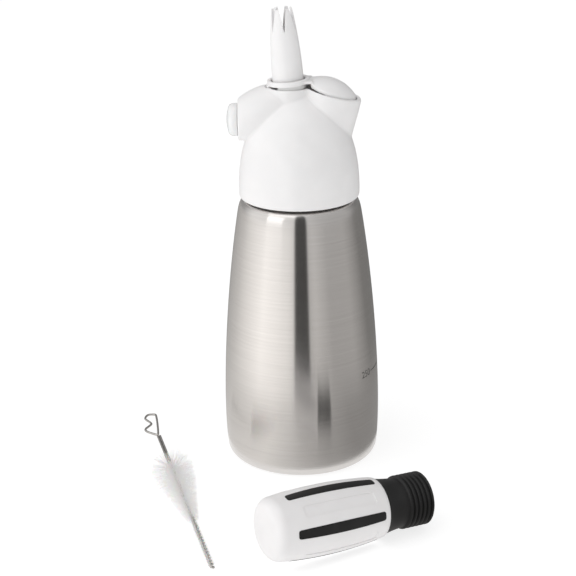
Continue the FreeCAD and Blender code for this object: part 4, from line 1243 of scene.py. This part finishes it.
@dataclass
class Studio:
    """White sweep, soft light and the camera. Sizes in metres."""

    eye: tuple = (-0.00647, -0.7441, 0.3675)
    pitch: float = 20.46
    roll: float = 0.90
    lens: float = 95.94
    floor_size: float = 14.0
    floor_tones: Point = (0.36, 0.38)
    floor_glow: float = 0.78
    card_inner: float = 0.045
    card_outer: float = 6.8
    near_band: Point = (0.11, 0.20)
    card_height: float = 0.0015
    near_levels: tuple = ((-180, 0.3), (-115, 0.75), (-40, 0.95), (0, 0.6), (25, 0.44), (60, 0.32),
                          (110, 0.33), (180, 0.28))
    far_levels: tuple = ((-180, 0.25), (-115, 0.75), (-60, 1.4), (-20, 1.1), (-11.5, 0.9), (-8.5, 0.07),
                         (10, 0.07), (13, 0.6), (22, 0.7), (45, 0.48), (80, 0.5), (115, 0.25), (180, 0.2))
    warmth: tuple = (1.0, 0.985, 0.965)
    sky_levels: Point = (0.93, 0.48)
    back_band: Point = (0.1, 0.8)
    back_level: float = 0.4
    gap_left: Point = (0.14, 0.20)
    gap_right: Point = (0.17, 0.24)
    gap_level: float = 0.10

    def camera(self) -> None:
        """The photograph's viewpoint."""
        data = bpy.data.cameras.new("camera")
        data.sensor_width = 36.0
        data.lens = self.lens
        item = Bench.show("camera", data)
        turn = Matrix.Rotation(math.radians(90 - self.pitch), 4, "X")
        roll = Matrix.Rotation(math.radians(-self.roll), 4, "Z")
        item.matrix_world = Matrix.Translation(self.eye) @ turn @ roll
        bpy.context.scene.camera = item

    def floor(self) -> None:
        """The pale floor, which glows a little so that shadows stay faint."""
        Bench.clear()
        bpy.ops.mesh.primitive_plane_add(size=self.floor_size, location=(0, 0, -0.0002))
        plane = bpy.context.object
        plane.name = "studio_floor"
        look = Shader("studio_floor")
        cloud = look.noise(look.place(), 3.0, 2.0)
        tone = look.mix(cloud, *((level, level, level, 1) for level in self.floor_tones))
        look.put(Base_Color=tone, Roughness=0.95, Emission_Color=(1, 1, 1, 1))
        look.put(Emission_Strength=self.floor_glow)
        look.put(Specular_IOR_Level=0.0)
        plane.data.materials.append(look.material)

    def bearing_ramp(self, look: Shader, levels: Sequence[tuple[float, float]]) -> Socket:
        """Warm grey levels by bearing from the bottle.

        Args:
            look: The shader.
            levels: Pairs of bearing in degrees and grey level.

        Returns:
            The colour.
        """
        share = look.bearing() / FULL_TURN + 0.5
        stops = [((angle + 180) / 360, (*(level * tint for tint in self.warmth), 1))
                 for angle, level in levels]
        return look.node("ShaderNodeValToRGB", {"stops": stops}, {0: share})

    def reflection_card(self) -> None:
        """A card on the floor that only reflections see, with a dark gap towards the camera."""
        Bench.clear()
        bpy.ops.mesh.primitive_circle_add(vertices=96, radius=self.card_inner, fill_type="NOTHING")
        card = bpy.context.object
        card.name = "reflection_card"
        grow = self.card_outer / self.card_inner

        def widen() -> None:
            """Extrude the ring outwards."""
            bpy.ops.mesh.extrude_region_move()
            bpy.ops.transform.resize(value=(grow, grow, 1))

        Bench.edit(card, widen)
        card.data.transform(Matrix.Translation((0, 0, self.card_height)))
        look = Shader("reflection_card")
        reach = look.node("ShaderNodeVectorMath", {"operation": "LENGTH"}, {0: look.place()}, "Value")
        look.put(Base_Color=(0, 0, 0, 1), Roughness=1.0, Specular_IOR_Level=0.0, Emission_Strength=1.0)
        near = self.bearing_ramp(look, self.near_levels)
        far = self.bearing_ramp(look, self.far_levels)
        look.put(Emission_Color=look.mix(look.steps(reach, *self.near_band), near, far))
        card.data.materials.append(look.material)
        for flag in ("camera", "diffuse", "shadow", "transmission", "volume_scatter"):
            setattr(card, "visible_" + flag, False)

    def light(self) -> None:
        """A soft surround, darker behind and towards the camera, and two soft boxes."""
        sky = Surround("studio")
        bpy.context.scene.world = sky.world
        side = sky.steps(sky.axis("X"), -1.0, 1.0, *self.sky_levels)
        behind = sky.steps(sky.axis("Y"), *self.back_band, 1.0, self.back_level)
        bearing = sky.bearing()
        left = sky.steps(bearing * -1.0, *self.gap_left)
        right = sky.steps(bearing, *self.gap_right)
        sky.put(Color=side * behind * (left + right + self.gap_level))
        self.softbox("top_box", (-0.3, -0.3, 1.3), (0, 0, 0.1), size=1.1, power=2.6)
        self.softbox("left_box", (-1.0, -0.9, 0.7), (0, 0, 0.12), size=0.8, power=1.6)

    def softbox(self, name: str, place: tuple, aim: tuple, size: float, power: float) -> None:
        """A square area light aimed at a point."""
        data = bpy.data.lights.new(name, "AREA")
        data.size = size
        data.energy = power
        item = Bench.show(name, data)
        item.location = place
        item.rotation_mode = "QUATERNION"
        item.rotation_quaternion = (Vector(aim) - Vector(place)).to_track_quat("-Z", "Y")

    def build(self) -> None:
        """Set up the studio."""
        self.camera()
        self.floor()
        self.reflection_card()
        self.light()
        bpy.context.scene.view_settings.view_transform = "Standard"


def main() -> None:
    """Build the studio and every sub-assembly in order."""
    logging.basicConfig(level=logging.INFO, format="%(message)s")
    Studio().build()
    finishes = Finishes()
    finishes.dress_frame()
    for assembly in (SteelBottle(),
                     Moulding("head_moulding", "head_shell", Body.HEAD, "head_white", 0.5, 14),
                     Moulding("lever_moulding", "lever", Body.LEVER, "head_white", 0.3, 10),
                     NozzleTip(), PortCap(), ChargerHolder(), CleaningBrush()):
        assembly.build(finishes)


if __name__ == "__main__":
    main()
